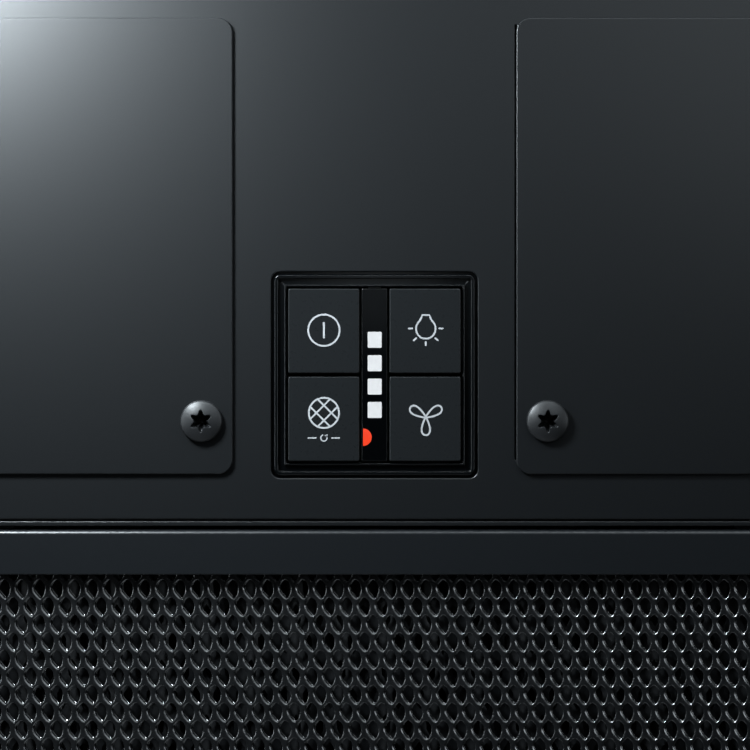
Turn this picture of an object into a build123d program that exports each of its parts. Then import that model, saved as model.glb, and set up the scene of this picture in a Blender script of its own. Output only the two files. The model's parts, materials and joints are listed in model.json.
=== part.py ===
from build123d import *
import math
import os

# Ceiling range hood: a shallow black tray that closes a ceiling cut-out, a galvanised plenum and blower box above
# it, three grease filters that tip down about their front edges, and a key module in the strip in front of them.
# Frame: +X to the user's right, -Y towards the user, +Z up. The origin is the centre of the four hanger holes,
# on the upper face of the hanger plates. The visible underside lies at Z = ZU.

os.makedirs("parts", exist_ok=True)

# ---------------------------------------------------------------- driving dimensions (mm)
W, D = 900.0, 500.0          # tray, outside
ZU = -130.0                  # underside plane of the tray and the control strip
T = 1.2                      # painted sheet
RIM_H = 20.0                 # height of the tray's edge below the ceiling
RIM_R = 6.0                  # corner radius of the tray
G = 1.0                      # galvanised sheet
PX, PY = 430.0, 240.0        # plenum half sizes, outside
ZT = -3.0                    # top of the plenum sheet, under the hanger plates
HX, HY = 380.0, 190.0        # hanger hole positions
H_R = 4.5                    # hanger hole radius, for M8 rod
BX, BY = 180.0, 175.0        # blower box half sizes
ZB = 168.0                   # top of the blower box

OX = 412.5                   # half width of the tray's opening
YR = 212.6                   # rear edge of the opening
YM = -145.0                  # key module centre
Y_F0 = -232.0                # front edge of the control strip
Y_F1 = YM + 33.0             # rear edge of the control strip
Y_L0, Y_L1 = YM + 33.55, YM + 34.7      # thin wall between strip and filters
FY0 = YM + 35.65             # front edge of the filters
FD = 321.0                   # filter depth
FW = 273.4                   # filter width
F_GAP = 0.9                  # gap between filters
FH = 9.0                     # filter thickness
F_LIP = 10.25                # width of the filter frame's band
FS = 0.7                     # filter frame sheet
F_HEM = 1.5                  # the band's thickness where its sheet is folded back
F_DROP = 0.8                 # how far the filters stand below the strip
ZF = ZU - F_DROP             # underside of the filters
TAB_L = 4.4                  # front tabs

COV_X0, COV_X1 = 32.6, 232.6            # access covers
COV_Y0, COV_Y1 = YM - 82.0, YM + 22.8
COV_T, COV_R = 1.0, 3.3
SCR_IN, SCR_OUT, SCR_Y = 39.7, 225.5, YM + 10.6   # cover screws
SCR_HEAD_R, SCR_HEAD_H = 4.8, 2.5

CUT = 23.9                   # half size of the key module's cut-out
BEZ = 23.2                   # half size of the bezel
BEZ_IN = 20.35               # half size of its opening
KEY_OUT, KEY_IN = 19.8, 3.45             # outer and inner sides of the keys
KEY_MID = 0.4                # half gap between upper and lower keys
KEY_TRAVEL = 0.8
WIN = 2.91                   # half width of the indicator strip
SEG_W, SEG_H, SEG_P = 3.24, 3.77, 5.37   # lit segments and their pitch
DOT_R, DOT_X, DOT_Y = 2.0, -2.91, 14.3   # half-round filter indicator

LAMP_X, LAMP_W, LAMP_D = 318.0, 150.0, 28.0      # lamps in the strip

WH_R, WH_L = 70.0, 110.0     # blower wheel radius and length
WY, WZ = 58.0, 30.0          # its axis, along X
N_BLADE = 30
SHAFT_R, BORE_R = 4.0, 4.05
SC_X = 61.0                  # half width inside the scroll
SC_T = 2.0                   # scroll wall
SC_A, SC_R = 14.0, 72.0      # scroll: design square, and its first radius
CUTOFF = 115.0               # angle of the scroll's tongue
COL_Y = -14.0                # duct collar centre
COL_R, COL_T, COL_H = 74.5, 2.0, 48.0    # for a 150 mm duct
ZR = ZB + 16.0               # damper rod height

# ---------------------------------------------------------------- helpers


def box(x0, x1, y0, y1, z0, z1):
    return Pos((x0 + x1) / 2, (y0 + y1) / 2, (z0 + z1) / 2) * Box(abs(x1 - x0), abs(y1 - y0), abs(z1 - z0))


def plate(x0, x1, y0, y1, z0, z1, r):
    sk = Pos((x0 + x1) / 2, (y0 + y1) / 2) * RectangleRounded(abs(x1 - x0), abs(y1 - y0), r)
    return Pos(0, 0, z0) * extrude(sk, z1 - z0)


def cyl(x, y, z0, z1, r):
    return Pos(x, y, (z0 + z1) / 2) * Cylinder(r, z1 - z0)


def cyl_x(x0, x1, y, z, r):
    return Pos((x0 + x1) / 2, y, z) * Rot(0, 90, 0) * Cylinder(r, x1 - x0)


def cyl_y(y0, y1, x, z, r):
    return Pos(x, (y0 + y1) / 2, z) * Rot(90, 0, 0) * Cylinder(r, y1 - y0)


def tube_x(x0, x1, y, z, ro, ri):
    return cyl_x(x0, x1, y, z, ro) - cyl_x(x0 - 1, x1 + 1, y, z, ri)


def save(name, *shapes):
    solids = []
    for s in shapes:
        solids += list(s.solids())
    out = solids[0] if len(solids) == 1 else Compound(children=solids)
    export_step(out, f"parts/{name}.step")


# ---------------------------------------------------------------- canopy tray (black)
frame = plate(-W / 2, W / 2, -D / 2, D / 2, ZU, ZU + RIM_H, RIM_R)
frame -= plate(-W / 2 + T, W / 2 - T, -D / 2 + T, D / 2 - T, ZU + T, ZU + RIM_H - T, RIM_R - T)
frame -= plate(-W / 2 + 7, W / 2 - 7, -D / 2 + 7, D / 2 - 7, ZU + RIM_H - T - 1, ZU + RIM_H + 1, 2.0)
frame -= box(-OX, OX, Y_F0 - 0.5, YR, ZU - 1, ZU + T + 1)
# surround welded on the tray round the filters, with the thin front wall that shows behind the control strip
W_UP = 15.0
walls = [box(-OX, OX, Y_L0, Y_L1, ZU - 0.1, ZU + W_UP) + box(-OX - 1.15, OX + 1.15, Y_L0, Y_L1, ZU + T, ZU + W_UP)]
walls += [box(OX, OX + 1.15, Y_L1, YR, ZU + T, ZU + W_UP), box(-OX - 1.15, -OX, Y_L1, YR, ZU + T, ZU + W_UP)]
walls += [box(-OX - 1.15, OX + 1.15, YR, YR + 1.15, ZU + T, ZU + W_UP)]
# ledge behind the control strip, with the stud holes
LY_A, LY_B = Y_F0 + 6.0, YM + 28.05
LX_O, LX_I = OX + 7.5, OX - 8.5
ledge = [box(-LX_O, LX_O, Y_F0 - 6, LY_A, ZU + T, ZU + 2 * T), box(-LX_O, LX_O, LY_B, Y_L0, ZU + T, ZU + 2 * T)]
ledge += [box(-LX_O, -LX_I, LY_A, LY_B, ZU + T, ZU + 2 * T), box(LX_I, LX_O, LY_A, LY_B, ZU + T, ZU + 2 * T)]
STUD_R, STUD_Y = 1.45, (Y_F0 + 3.0, YM + 30.5)
STUD_X = (-402.0, -240.0, -45.0, 45.0, 240.0, 402.0)
for i, y in enumerate(STUD_Y):
    for x in STUD_X:
        ledge[i] -= cyl(x, y, ZU + T - 1, ZU + 2 * T + 1, 1.6)
# slots in the front wall for the filters' tabs, and in the rear wall for the latch bolts
FXC = [-(FW + F_GAP), 0.0, FW + F_GAP]
for cx in FXC:
    for dx in (-90.0, 90.0):
        slot = box(cx + dx - 9, cx + dx + 9, Y_L0 - 3.5, Y_L1 + 1, ZF + 2.8, ZF + 8.0)
        walls[0] -= slot
        ledge[1] -= slot
    walls[3] -= box(cx - 9.5, cx + 9.5, YR - 1, YR + 3, ZF + 2.6, ZF + 6.4)
# the tray in flat strips that meet: its face, its edge walls and their inward returns
y_face, y_wall, y_ret = (Y_F0 - 0.5, YR), D / 2 - RIM_R, D / 2 - 7
za, zb, zc, zd = ZU, ZU + T, ZU + RIM_H - T, ZU + RIM_H
strips = []
for z0, z1, ya, yb, xi in ((za, zb, *y_face, OX), (zb, zc, -y_wall, y_wall, W / 2 - RIM_R), (zc, zd, -y_ret, y_ret, W / 2 - 7)):
    strips += [frame & box(-W / 2 - 1, W / 2 + 1, -D / 2 - 1, ya, z0, z1), frame & box(-W / 2 - 1, W / 2 + 1, yb, D / 2 + 1, z0, z1)]
    strips += [frame & box(-W / 2 - 1, -xi, ya, yb, z0, z1), frame & box(xi, W / 2 + 1, ya, yb, z0, z1)]
print("tray", round(frame.volume, 3), "in strips", round(sum(q.volume for q in strips), 3), len(strips))
save("canopy_frame", *strips, *walls, *ledge)

# ---------------------------------------------------------------- control strip (black)
FX = OX - 0.6
fas = box(-FX, FX, Y_F0, Y_F1, ZU, ZU + T)
fas -= plate(-CUT, CUT, YM - CUT, YM + CUT, ZU - 1, ZU + 3, 2.1)
HOOK_X = (70.0, 195.0)
for s in (1, -1):
    xs = sorted((s * 50.0, s * 216.0))
    fas -= plate(xs[0], xs[1], YM - 62, YM - 4, ZU - 1, ZU + 3, 6)       # access window behind each cover
    for x in (SCR_IN, SCR_OUT):
        fas -= cyl(s * x, SCR_Y, ZU - 1, ZU + 3, 3.4)
    for x in HOOK_X:
        fas -= box(s * x - 7, s * x + 7, COV_Y0 + 4.8, COV_Y0 + 9.0, ZU - 1, ZU + 3)
    fas -= plate(s * LAMP_X - LAMP_W / 2 - 0.3, s * LAMP_X + LAMP_W / 2 + 0.3, YM - LAMP_D / 2 - 0.3, YM + LAMP_D / 2 + 0.3, ZU - 1, ZU + 3, 4.3)
for y in STUD_Y:
    for x in STUD_X:
        fas += cyl(x, y, ZU + T - 0.2, ZU + 5.6, STUD_R)
save("control_strip", fas)

nuts = []
for y in STUD_Y:
    for x in STUD_X:
        n = Pos(x, y, ZU + 2 * T) * extrude(RegularPolygon(2.9, 6), 2.4)
        nuts.append(n - cyl(x, y, ZU, ZU + 8, 1.5))
save("strip_nuts", *nuts)

# threaded bushes pressed into the strip for the cover screws
bush = []
for s in (1, -1):
    for x in (SCR_IN, SCR_OUT):
        n = cyl(s * x, SCR_Y, ZU, ZU + 8.5, 3.4) + cyl(s * x, SCR_Y, ZU + T, ZU + T + 1.0, 4.8)
        bush.append(n - cyl(s * x, SCR_Y, ZU - 1, ZU + 9, 2.5))
save("cover_screw_bushes", *bush)

# access covers: flat plates on the strip's face, two hooks behind it at the front, two screws at the rear
for s, name in ((-1, "access_cover_left"), (1, "access_cover_right")):
    x0, x1 = sorted((s * COV_X0, s * COV_X1))
    c = plate(x0, x1, COV_Y0, COV_Y1, ZU - COV_T, ZU, COV_R)
    c = fillet(c.edges().group_by(Axis.Z)[0], 0.4)
    for x in (SCR_IN, SCR_OUT):
        c -= cyl(s * x, SCR_Y, ZU - 3, ZU + 3, 2.75)
    for x in HOOK_X:
        c += box(s * x - 6, s * x + 6, COV_Y0 + 5.5, COV_Y0 + 6.7, ZU - 0.3, ZU + 2.5)
        c += box(s * x - 6, s * x + 6, COV_Y0 + 1.8, COV_Y0 + 6.7, ZU + T + 0.15, ZU + 2.5)
    save(name, c)


def lobe_socket(r, depth):
    # six-lobe recess, one lobe towards -Y
    ri = 0.72 * r
    sk = Circle(0.84 * r)
    for i in range(6):
        a = math.radians(60 * i + 90)
        sk += Pos(0.78 * r * math.cos(a), 0.78 * r * math.sin(a)) * Circle(0.22 * r)
    for i in range(6):
        a = math.radians(60 * i + 120)
        sk -= Pos(1.12 * r * math.cos(a), 1.12 * r * math.sin(a)) * Circle(0.36 * r)
    return extrude(sk, depth)


def screw(x, y, z):
    # low button head on the underside; z is the seat
    r, h = SCR_HEAD_R, SCR_HEAD_H
    prof = [
        Line((0, 0), (r - 0.05, 0)), Line((r - 0.05, 0), (r, -0.35)),
        ThreePointArc((r, -0.35), (r * 0.74, -h * 0.74), (1.6, -h)),
        Line((1.6, -h), (0, -h)), Line((0, -h), (0, 0)),
    ]
    head = revolve(Plane.XZ * make_face(prof), Axis.Z)
    head -= Pos(0, 0, -h - 0.2) * lobe_socket(2.65, 2.0)
    head += Pos(0, 0, 4.4) * Cylinder(2.45, 9.0)
    return Pos(x, y, z) * head


save("cover_screws", *[screw(s * x, SCR_Y, ZU - COV_T) for s in (-1, 1) for x in (SCR_IN, SCR_OUT)])

# ---------------------------------------------------------------- key module
Z0 = ZU
bez = plate(-BEZ, BEZ, YM - BEZ, YM + BEZ, Z0 - 0.9, Z0 + 3.0, 1.6)
bez += plate(-26.5, 26.5, YM - 26.5, YM + 26.5, Z0 + T, Z0 + 3.0, 2.5)
bez -= plate(-BEZ_IN, BEZ_IN, YM - BEZ_IN, YM + BEZ_IN, Z0 - 3, Z0 + 4, 0.6)
bez -= plate(-21.6, 21.6, YM - 21.6, YM + 21.6, Z0 + T, Z0 + 4, 0.6)
# shallow trough between the outer bead and the inner ridge
tr = plate(-22.1, 22.1, YM - 22.1, YM + 22.1, Z0 - 2, Z0 - 0.35, 0.8) - plate(-20.95, 20.95, YM - 20.95, YM + 20.95, Z0 - 3, Z0, 0.8)
bez -= tr
save("key_bezel", bez)

hou = plate(-26.5, 26.5, YM - 26.5, YM + 26.5, Z0 + 3.0, Z0 + 17.0, 2.5)
hou -= plate(-22.6, 22.6, YM - 22.6, YM + 22.6, Z0 + 2.0, Z0 + 15.5, 1.0)
PEGS = ((-19.5, 19.5), (19.5, -19.5))
for px, py in PEGS:
    hou += cyl(px, YM + py, Z0 + 12.6, Z0 + 15.6, 2.2)
    hou += cyl(px, YM + py, Z0 + 10.6, Z0 + 13.0, 1.25)
hou -= cyl_y(YM - 30, YM - 20, -12, Z0 + 8.5, 2.7)       # cable entry
save("key_housing", hou)

pcb = box(-22, 22, YM - 22, YM + 22, Z0 + 11.0, Z0 + 12.6)
for px, py in PEGS:
    pcb -= cyl(px, YM + py, Z0, Z0 + 20, 1.35)
pcb += box(-8, 8, YM - 20.5, YM - 14.5, Z0 + 12.5, Z0 + 15.2)      # plug-in header
save("key_board", pcb)

KX = (KEY_IN + KEY_OUT) / 2
KY = (KEY_MID + KEY_OUT) / 2
sw = []
for sx in (-1, 1):
    for sy in (-1, 1):
        b = box(sx * KX - 3, sx * KX + 3, YM + sy * KY - 3, YM + sy * KY + 3, Z0 + 7.4, Z0 + 11.0)
        b -= cyl(sx * KX, YM + sy * KY, Z0 + 6, Z0 + 9.7, 1.9)
        sw.append(b)
save("key_switches", *sw)

leds = [box(-1.4, 1.4, YM + (i - 1.5) * SEG_P - 0.8, YM + (i - 1.5) * SEG_P + 0.8, Z0 + 10.2, Z0 + 11.0) for i in range(4)]
leds.append(box(-2.7, -1.1, YM + DOT_Y - 0.8, YM + DOT_Y + 0.8, Z0 + 10.2, Z0 + 11.0))
save("board_leds", *leds)

KEYS = {"key_power": (-1, -1), "key_light": (1, -1), "key_reset": (-1, 1), "key_fan": (1, 1)}
for name, (sx, sy) in KEYS.items():
    x0, x1 = sorted((sx * KEY_IN, sx * KEY_OUT))
    y0, y1 = sorted((YM + sy * KEY_MID, YM + sy * KEY_OUT))
    k = plate(x0, x1, y0, y1, Z0 - 1.1, Z0 + 3.4, 0.35)
    k = fillet(k.edges().group_by(Axis.Z)[0], 0.3)
    # skirt that holds the key behind the bezel's inner edge
    xo, yo = sx * 21.2, YM + sy * 21.2
    k += box(sx * 6, xo, YM + sy * 3, YM + sy * 17, Z0 + 1.3, Z0 + 2.5)
    k += box(sx * 6, sx * 17, YM + sy * 3, yo, Z0 + 1.3, Z0 + 2.5)
    k += cyl(sx * KX, YM + sy * KY, Z0 + 3.0, Z0 + 8.75, 1.6)
    save(name, k)

win = box(-WIN, WIN, YM - 19.8, YM + 19.8, Z0 - 0.8, Z0 + 1.4)
win += box(-1.6, 1.6, YM - 21.4, YM + 21.4, Z0 + T, Z0 + 3.0)
win += box(-WIN, WIN, YM - 19.0, YM + 19.0, Z0 + 1.3, Z0 + 6.0)
segs = []
for i in range(4):
    y = YM + (i - 1.5) * SEG_P
    segs.append(plate(-SEG_W / 2, SEG_W / 2, y - SEG_H / 2, y + SEG_H / 2, Z0 - 0.82, Z0 + 9.6, 0.25))
dot = Pos(DOT_X, YM + DOT_Y, Z0 - 0.82) * extrude(Circle(DOT_R) & (Pos(DOT_R, 0) * Rectangle(2 * DOT_R, 3 * DOT_R)), 10.4)
for s in segs:
    win -= s
win -= dot
save("indicator_strip", win)
save("speed_segments", *segs)
save("filter_indicator", dot)

# ---------------------------------------------------------------- lamps
lenses, lhous = [], []
for s in (-1, 1):
    cx = s * LAMP_X
    hx, hy = LAMP_W / 2, LAMP_D / 2
    lens = plate(cx - hx, cx + hx, YM - hy, YM + hy, ZU + 0.3, ZU + 2.6, 4)
    lens += plate(cx - hx - 3, cx + hx + 3, YM - hy - 3, YM + hy + 3, ZU + T, ZU + 2.6, 6)
    lenses.append(lens)
    h = plate(cx - hx - 5, cx + hx + 5, YM - hy - 5, YM + hy + 5, ZU + T, ZU + 13, 7)
    h -= plate(cx - hx - 3, cx + hx + 3, YM - hy - 3, YM + hy + 3, ZU, ZU + 2.6, 6)
    h -= plate(cx - hx, cx + hx, YM - hy, YM + hy, ZU, ZU + 11.8, 4)
    h -= cyl(cx, YM + 10, ZU + 8, ZU + 15, 2.1)
    lhous.append(h)
save("lamp_lenses", *lenses)
save("lamp_housings", *lhous)
boards = [box(s * LAMP_X - 70, s * LAMP_X + 70, YM - 6, YM + 6, ZU + 10.2, ZU + 11.8) for s in (-1, 1)]
save("lamp_led_boards", *boards)

# ---------------------------------------------------------------- grease filters
LX = 26.0                    # half width of the latch recess
LY1 = FY0 + FD - F_LIP
LY0 = LY1 - 24.0             # the recess lies next to the rear band
for cx, side in zip(FXC, ("left", "centre", "right")):
    x0, x1 = cx - FW / 2, cx + FW / 2
    y0, y1 = FY0, FY0 + FD
    z0, z1 = ZF, ZF + FH
    f = plate(x0, x1, y0, y1, z0, z1, 1.2)
    f = fillet(f.edges().filter_by(Plane.XY).filter_by(lambda e: e.length > 50), 0.85)
    f -= box(x0 + FS, x1 - FS, y0 + FS, y1 - FS, z0 + F_HEM, z1 - FS)
    f -= box(x0 + F_LIP, x1 - F_LIP, y0 + F_LIP, y1 - F_LIP, z0 - 1, z1 + 1)
    for dx in (-90.0, 90.0):
        f += box(cx + dx - 7, cx + dx + 7, y0 - TAB_L, y0 + 0.5, z0 + 3.3, z0 + 4.3)
    # latch cup inside the rear band, with two rails and a way for the bolt
    lp = box(cx - LX - 4, cx + LX + 4, LY0 - 3, y1 - FS / 2, z0 + 0.7, z1 - FS / 2)
    lp -= box(cx - LX, cx + LX, LY0, LY1, z0 - 1, z0 + 7.6)
    for s in (-1, 1):
        xs = sorted((cx + s * (LX - 2), cx + s * (LX + 1)))
        lp += box(xs[0], xs[1], LY0 - 0.5, LY1 + 0.5, z0 + 4.2, z0 + 5.1)
    f += lp
    f -= box(cx - 8.3, cx + 8.3, LY1 - 0.5, y1 + 1, z0 + 3.0, z0 + 6.0)
    save(f"filter_{side}_frame", f)
    # mesh sheets above and below a folded inner layer
    cut = box(cx - LX - 4.2, cx + LX + 4.2, LY0 - 3.2, y1, z0 - 2, z1 + 2)
    xa, xb, ya, yb = x0 + 1.2, x1 - 1.2, y0 + 1.2, y1 - 1.2
    lower = box(xa, xb, ya, yb, z0 + F_HEM, z0 + F_HEM + 1.2) - cut
    upper = box(xa, xb, ya, yb, z1 - FS - 1.2, z1 - FS) - cut
    save(f"filter_{side}_mesh", lower, upper)
    n = 26
    p = (xb - xa - 2) / n
    za, zb = z0 + F_HEM + 1.25, z1 - FS - 1.25
    top = [(xa + 1 + p * i, (za + 0.9) if i % 2 == 0 else zb) for i in range(n + 1)]
    bot = [(xa + 1 + p * i, za if i % 2 == 0 else (zb - 0.9)) for i in range(n, -1, -1)]
    pad = extrude(Plane.XZ * make_face(Polyline(*top, *bot, close=True)), -(yb - ya - 1))
    pad = Pos(0, ya + 0.5, 0) * pad
    save(f"filter_{side}_pad", pad - cut)
    # latch: slide with a finger lip and a bolt
    la = box(cx - LX + 0.6, cx + LX - 0.6, LY0 + 8.0, LY0 + 17.0, z0 + 5.2, z0 + 7.2)
    la += box(cx - 18, cx + 18, LY0 + 14.2, LY0 + 16.2, z0 + 0.9, z0 + 7.2)      # finger lip
    la += box(cx - 8, cx + 8, LY0 + 15.0, y1 + 4.6, z0 + 3.2, z0 + 5.8)          # bolt
    la = chamfer(la.faces().sort_by(Axis.Y)[-1].edges().sort_by(Axis.Z)[-1], 2.0)
    save(f"filter_{side}_latch", la)

# ---------------------------------------------------------------- plenum and blower box (galvanised)
GR_X, GR_Y = -300.0, 40.0    # cable grommet
# five folded sheets, welded along their corners: a top, and four walls with flanges that lie in the tray
top = box(-PX, PX, -PY, PY, ZT - G, ZT) - box(-BX + 12, BX - 12, -BY + 12, BY - 12, ZT - 3, ZT + 3)
for sx in (-1, 1):
    for sy in (-1, 1):
        top -= cyl(sx * HX, sy * HY, ZT - 3, ZT + 3, H_R)
top -= cyl(GR_X, GR_Y, ZT - 3, ZT + 3, 12)
BOXSC = [(x, y) for x in (-150.0, -50.0, 50.0, 150.0) for y in (-BY - 7, BY + 7)] + [(x, y) for y in (-110.0, 0.0, 110.0) for x in (-BX - 7, BX + 7)]
for x, y in BOXSC:
    top -= cyl(x, y, ZT - 3, ZT + 3, 2.0)
plen = [top]
for s in (-1, 1):
    a, b = sorted((s * (PX - G), s * PX))
    c, d = sorted((s * (PX - 0.2), s * (PX + 11)))
    plen.append(box(a, b, -PY, PY, ZU + T, ZT - G) + box(c, d, -PY, PY, ZU + T, ZU + T + G))
    a, b = sorted((s * (PY - G), s * PY))
    c, d = sorted((s * (PY - 0.2), s * (PY + 7)))
    plen.append(box(-PX + G, PX - G, a, b, ZU + T, ZT - G) + box(-PX + G, PX - G, c, d, ZU + T, ZU + T + G))
save("plenum_casing", *plen)

hp = []
for sx in (-1, 1):
    for sy in (-1, 1):
        p = plate(sx * HX - 32, sx * HX + 32, sy * HY - 26, sy * HY + 26, ZT, 0, 4)
        hp.append(p - cyl(sx * HX, sy * HY, ZT - 1, 1, H_R))
save("hanger_plates", *hp)

COLSC = [(81 * math.cos(math.radians(a)), COL_Y + 81 * math.sin(math.radians(a))) for a in (45, 135, 225, 315)]
bb = box(-BX, BX, -BY, BY, ZT, ZB) - box(-BX + G, BX - G, -BY + G, BY - G, ZT - 1, ZB - G)
bb += box(-BX - 14, BX + 14, -BY - 14, BY + 14, ZT, ZT + G) - box(-BX + 0.5, BX - 0.5, -BY + 0.5, BY - 0.5, ZT - 1, ZT + 2)
bb -= cyl(0, COL_Y, ZB - 3, ZB + 3, 70.0)
for x, y in BOXSC:
    bb -= cyl(x, y, ZT - 3, ZT + 3, 2.0)
for x, y in COLSC:
    bb -= cyl(x, y, ZB - 3, ZB + 3, 2.2)
save("blower_box", bb)


def sheet_screw(x, y, z):
    b = fillet(cyl(x, y, z, z + 3.0, 4.0).edges().group_by(Axis.Z)[-1], 1.2)
    b -= Pos(x, y, z + 2.6) * (Box(4.6, 0.9, 2.0) + Box(0.9, 4.6, 2.0))
    return b + cyl(x, y, z - 8, z + 0.5, 1.9)



# ---------------------------------------------------------------- duct collar and damper
ring_in = COL_R - COL_T
col = cyl(0, COL_Y, ZB, ZB + 1.5, 88) + cyl(0, COL_Y, ZB, ZB + COL_H, COL_R)
col -= cyl(0, COL_Y, ZB - 1, ZB + COL_H + 1, ring_in)
for sx in (-1, 1):
    for a in (35, -35):
        ca, sa = math.cos(math.radians(a)), math.sin(math.radians(a))
        lug = Pos(sx * (ring_in - 2.0) * ca, COL_Y + (ring_in - 2.0) * sa, ZR - 2.6) * Rot(0, 0, sx * a) * Box(6.0, 6.0, 4.0)
        col += lug
col -= cyl_y(COL_Y - COL_R - 2, COL_Y + COL_R + 2, 0, ZR, 2.0)
for x, y in COLSC:
    col -= cyl(x, y, ZB - 1, ZB + 3, 2.2)
save("duct_collar", col)

# the same screws hold the blower box to the plenum and the collar to the blower box
save("casing_screws", *[sheet_screw(x, y, ZT + G) for x, y in BOXSC], *[sheet_screw(x, y, ZB + 1.5) for x, y in COLSC])

save("damper_rod", cyl_y(COL_Y - COL_R + 0.2, COL_Y + COL_R - 0.2, 0, ZR, 1.96))

FR = ring_in - 1.2
for s, side, kn in ((-1, "left", [(-58, -34), (2, 26)]), (1, "right", [(-30, -4), (30, 54)])):
    fp = cyl(0, COL_Y, ZR - 0.5, ZR + 0.5, FR) & box(s * 4.4, s * 80, COL_Y - 80, COL_Y + 80, ZR - 3, ZR + 3)
    for a, b in kn:
        fp += cyl_y(COL_Y + a, COL_Y + b, 0, ZR, 3.5)
        fp += box(0, s * 6.5, COL_Y + a, COL_Y + b, ZR - 0.5, ZR + 0.5)
    for a, b in kn:
        fp -= cyl_y(COL_Y + a - 1, COL_Y + b + 1, 0, ZR, 2.02)
    save(f"damper_flap_{side}", fp)

# ---------------------------------------------------------------- blower
# the scroll's outline is four tangent arcs about the corners of a small square, then two straight walls
ZTOP = ZB - G
h = SC_A / 2
CEN = [(WY + h, WZ + h), (WY + h, WZ - h), (WY - h, WZ - h), (WY - h, WZ + h)]


def pt(c, r, a):
    return (c[0] + r * math.cos(math.radians(a)), c[1] + r * math.sin(math.radians(a)))


def scroll_face(off, top):
    r = [SC_R + off + SC_A * i for i in range(4)]
    y_t = pt(CEN[0], SC_R, CUTOFF)[0] + off
    a0 = math.degrees(math.acos((y_t - CEN[0][0]) / r[0]))
    stops = [(a0, 90.0), (90.0, 0.0), (0.0, -90.0), (-90.0, -180.0)]
    edges = []
    for c, rr, (a, b) in zip(CEN, r, stops):
        edges.append(ThreePointArc(pt(c, rr, a), pt(c, rr, (a + b) / 2), pt(c, rr, b)))
    p_end, p_start = pt(CEN[3], r[3], -180.0), pt(CEN[0], r[0], a0)
    edges.append(Line(p_end, (p_end[0], top)))
    edges.append(Line((p_end[0], top), (p_start[0], top)))
    edges.append(Line((p_start[0], top), p_start))
    return make_face(edges), p_end[0], p_start[0]


fo, yo0, yo1 = scroll_face(SC_T, ZTOP)
fi, yi0, yi1 = scroll_face(0.0, ZTOP + 5)
XS = SC_X + SC_T
outer = Pos(-XS, 0, 0) * (Plane.YZ.location * extrude(fo, 2 * XS))
inner = Pos(-SC_X, 0, 0) * (Plane.YZ.location * extrude(fi, 2 * SC_X))
outer += box(-XS - 10, XS + 10, yo0 - 10, yo1 + 10, ZTOP - 2, ZTOP)
shell = outer - inner
shell -= cyl_x(-XS - 2, XS + 2, WY, WZ, 58.0)
for x, y in COLSC:
    shell -= cyl(x, y, ZTOP - 4, ZTOP + 2, 2.0)
save("blower_scroll_left", shell & box(-100, 0.0, -200, 200, -200, 300))
save("blower_scroll_right", shell & box(0.0, 100, -200, 200, -200, 300))

rings = []
for s in (-1, 1):
    a, b = sorted((s * XS, s * (XS + 5)))
    r = tube_x(a, b, WY, WZ, 68, 56)
    e = r.edges().filter_by(GeomType.CIRCLE).filter_by(lambda q: abs(q.radius - 56) < 0.1).sort_by(Axis.X)
    rings.append(fillet(e[-1] if s > 0 else e[0], 4.0))
save("blower_inlet_rings", *rings)

# wheel: a hub disc and two end rings, with blades notched over the disc's rim and held between the rings
DISC_R = 57.0
disc = cyl_x(-1.5, 1.5, WY, WZ, DISC_R)
disc += cyl_x(-14, 5, WY, WZ, 12)
disc -= cyl_x(-20, 20, WY, WZ, SHAFT_R)
XB = WH_L / 2 - 3
save("blower_wheel", disc, *[tube_x(*sorted((s * XB, s * WH_L / 2)), WY, WZ, WH_R, WH_R - 15) for s in (-1, 1)])
r1, r2 = 55.5, 69.0
blade = make_face([
    ThreePointArc((r1, 0), (0.5 * (r1 + r2) + 0.6, 2.2), (r2, 7.0)),
    Line((r2, 7.0), (r2 - 0.9, 8.0)),
    ThreePointArc((r2 - 0.9, 8.0), (0.5 * (r1 + r2) - 0.4, 3.4), (r1 - 0.4, 1.3)),
    Line((r1 - 0.4, 1.3), (r1, 0)),
])
bl = Pos(-XB, 0, 0) * (Plane.YZ.location * extrude(blade, 2 * XB))
bl -= cyl_x(-1.5, 1.5, 0, 0, DISC_R)
save("wheel_blades", *[Pos(0, WY, WZ) * Rot(360.0 * i / N_BLADE, 0, 0) * bl for i in range(N_BLADE)])

save("motor_shaft", cyl_x(-14, 48, WY, WZ, SHAFT_R))

mot = cyl_x(9, 62, WY, WZ, 38)
mot = fillet(mot.edges().filter_by(GeomType.CIRCLE), 5)
mot -= cyl_x(0, 52, WY, WZ, BORE_R)
save("motor", mot)

XR = XS + 5                  # outer face of the inlet ring
spid = cyl_x(62, XR + 3, WY, WZ, 20)
for a in (90, 210, 330):
    spid += Pos(0, WY, WZ) * Rot(a, 0, 0) * box(XR, XR + 3, 14, 66, -5, 5)
spid += tube_x(XR, XR + 3, WY, WZ, 68, 61)
spid -= cyl_x(60, XR + 5, WY, WZ, 6)
save("motor_bracket", spid)

save("run_capacitor", cyl(-110, 100, ZTOP - 62, ZTOP, 16))

# ---------------------------------------------------------------- connection box on the plenum
ex0, ex1, ey0, ey1 = -400.0, -250.0, -60.0, 60.0
pb = plate(ex0, ex1, ey0, ey1, ZT, ZT + 34, 4) - plate(ex0 + 2, ex1 - 2, ey0 + 2, ey1 - 2, ZT + 2, ZT + 40, 2.5)
POSTS = ((-317.0, -41.0), (-269.0, -41.0), (-317.0, 17.0), (-269.0, 17.0))
for x, y in POSTS:
    pb += cyl(x, y, ZT + 1.5, ZT + 7, 3.0)
BOXC = [(ex0 + 8, ey0 + 8), (ex1 - 8, ey0 + 8), (ex0 + 8, ey1 - 8), (ex1 - 8, ey1 - 8)]
for x, y in BOXC:
    pb += cyl(x, y, ZT + 1.5, ZT + 34, 4.0)
    pb -= cyl(x, y, ZT + 20, ZT + 35, 1.75)
pb -= box(ex0 - 1, ex0 + 3.3, -47, -13, ZT + 4, ZT + 35)
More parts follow.
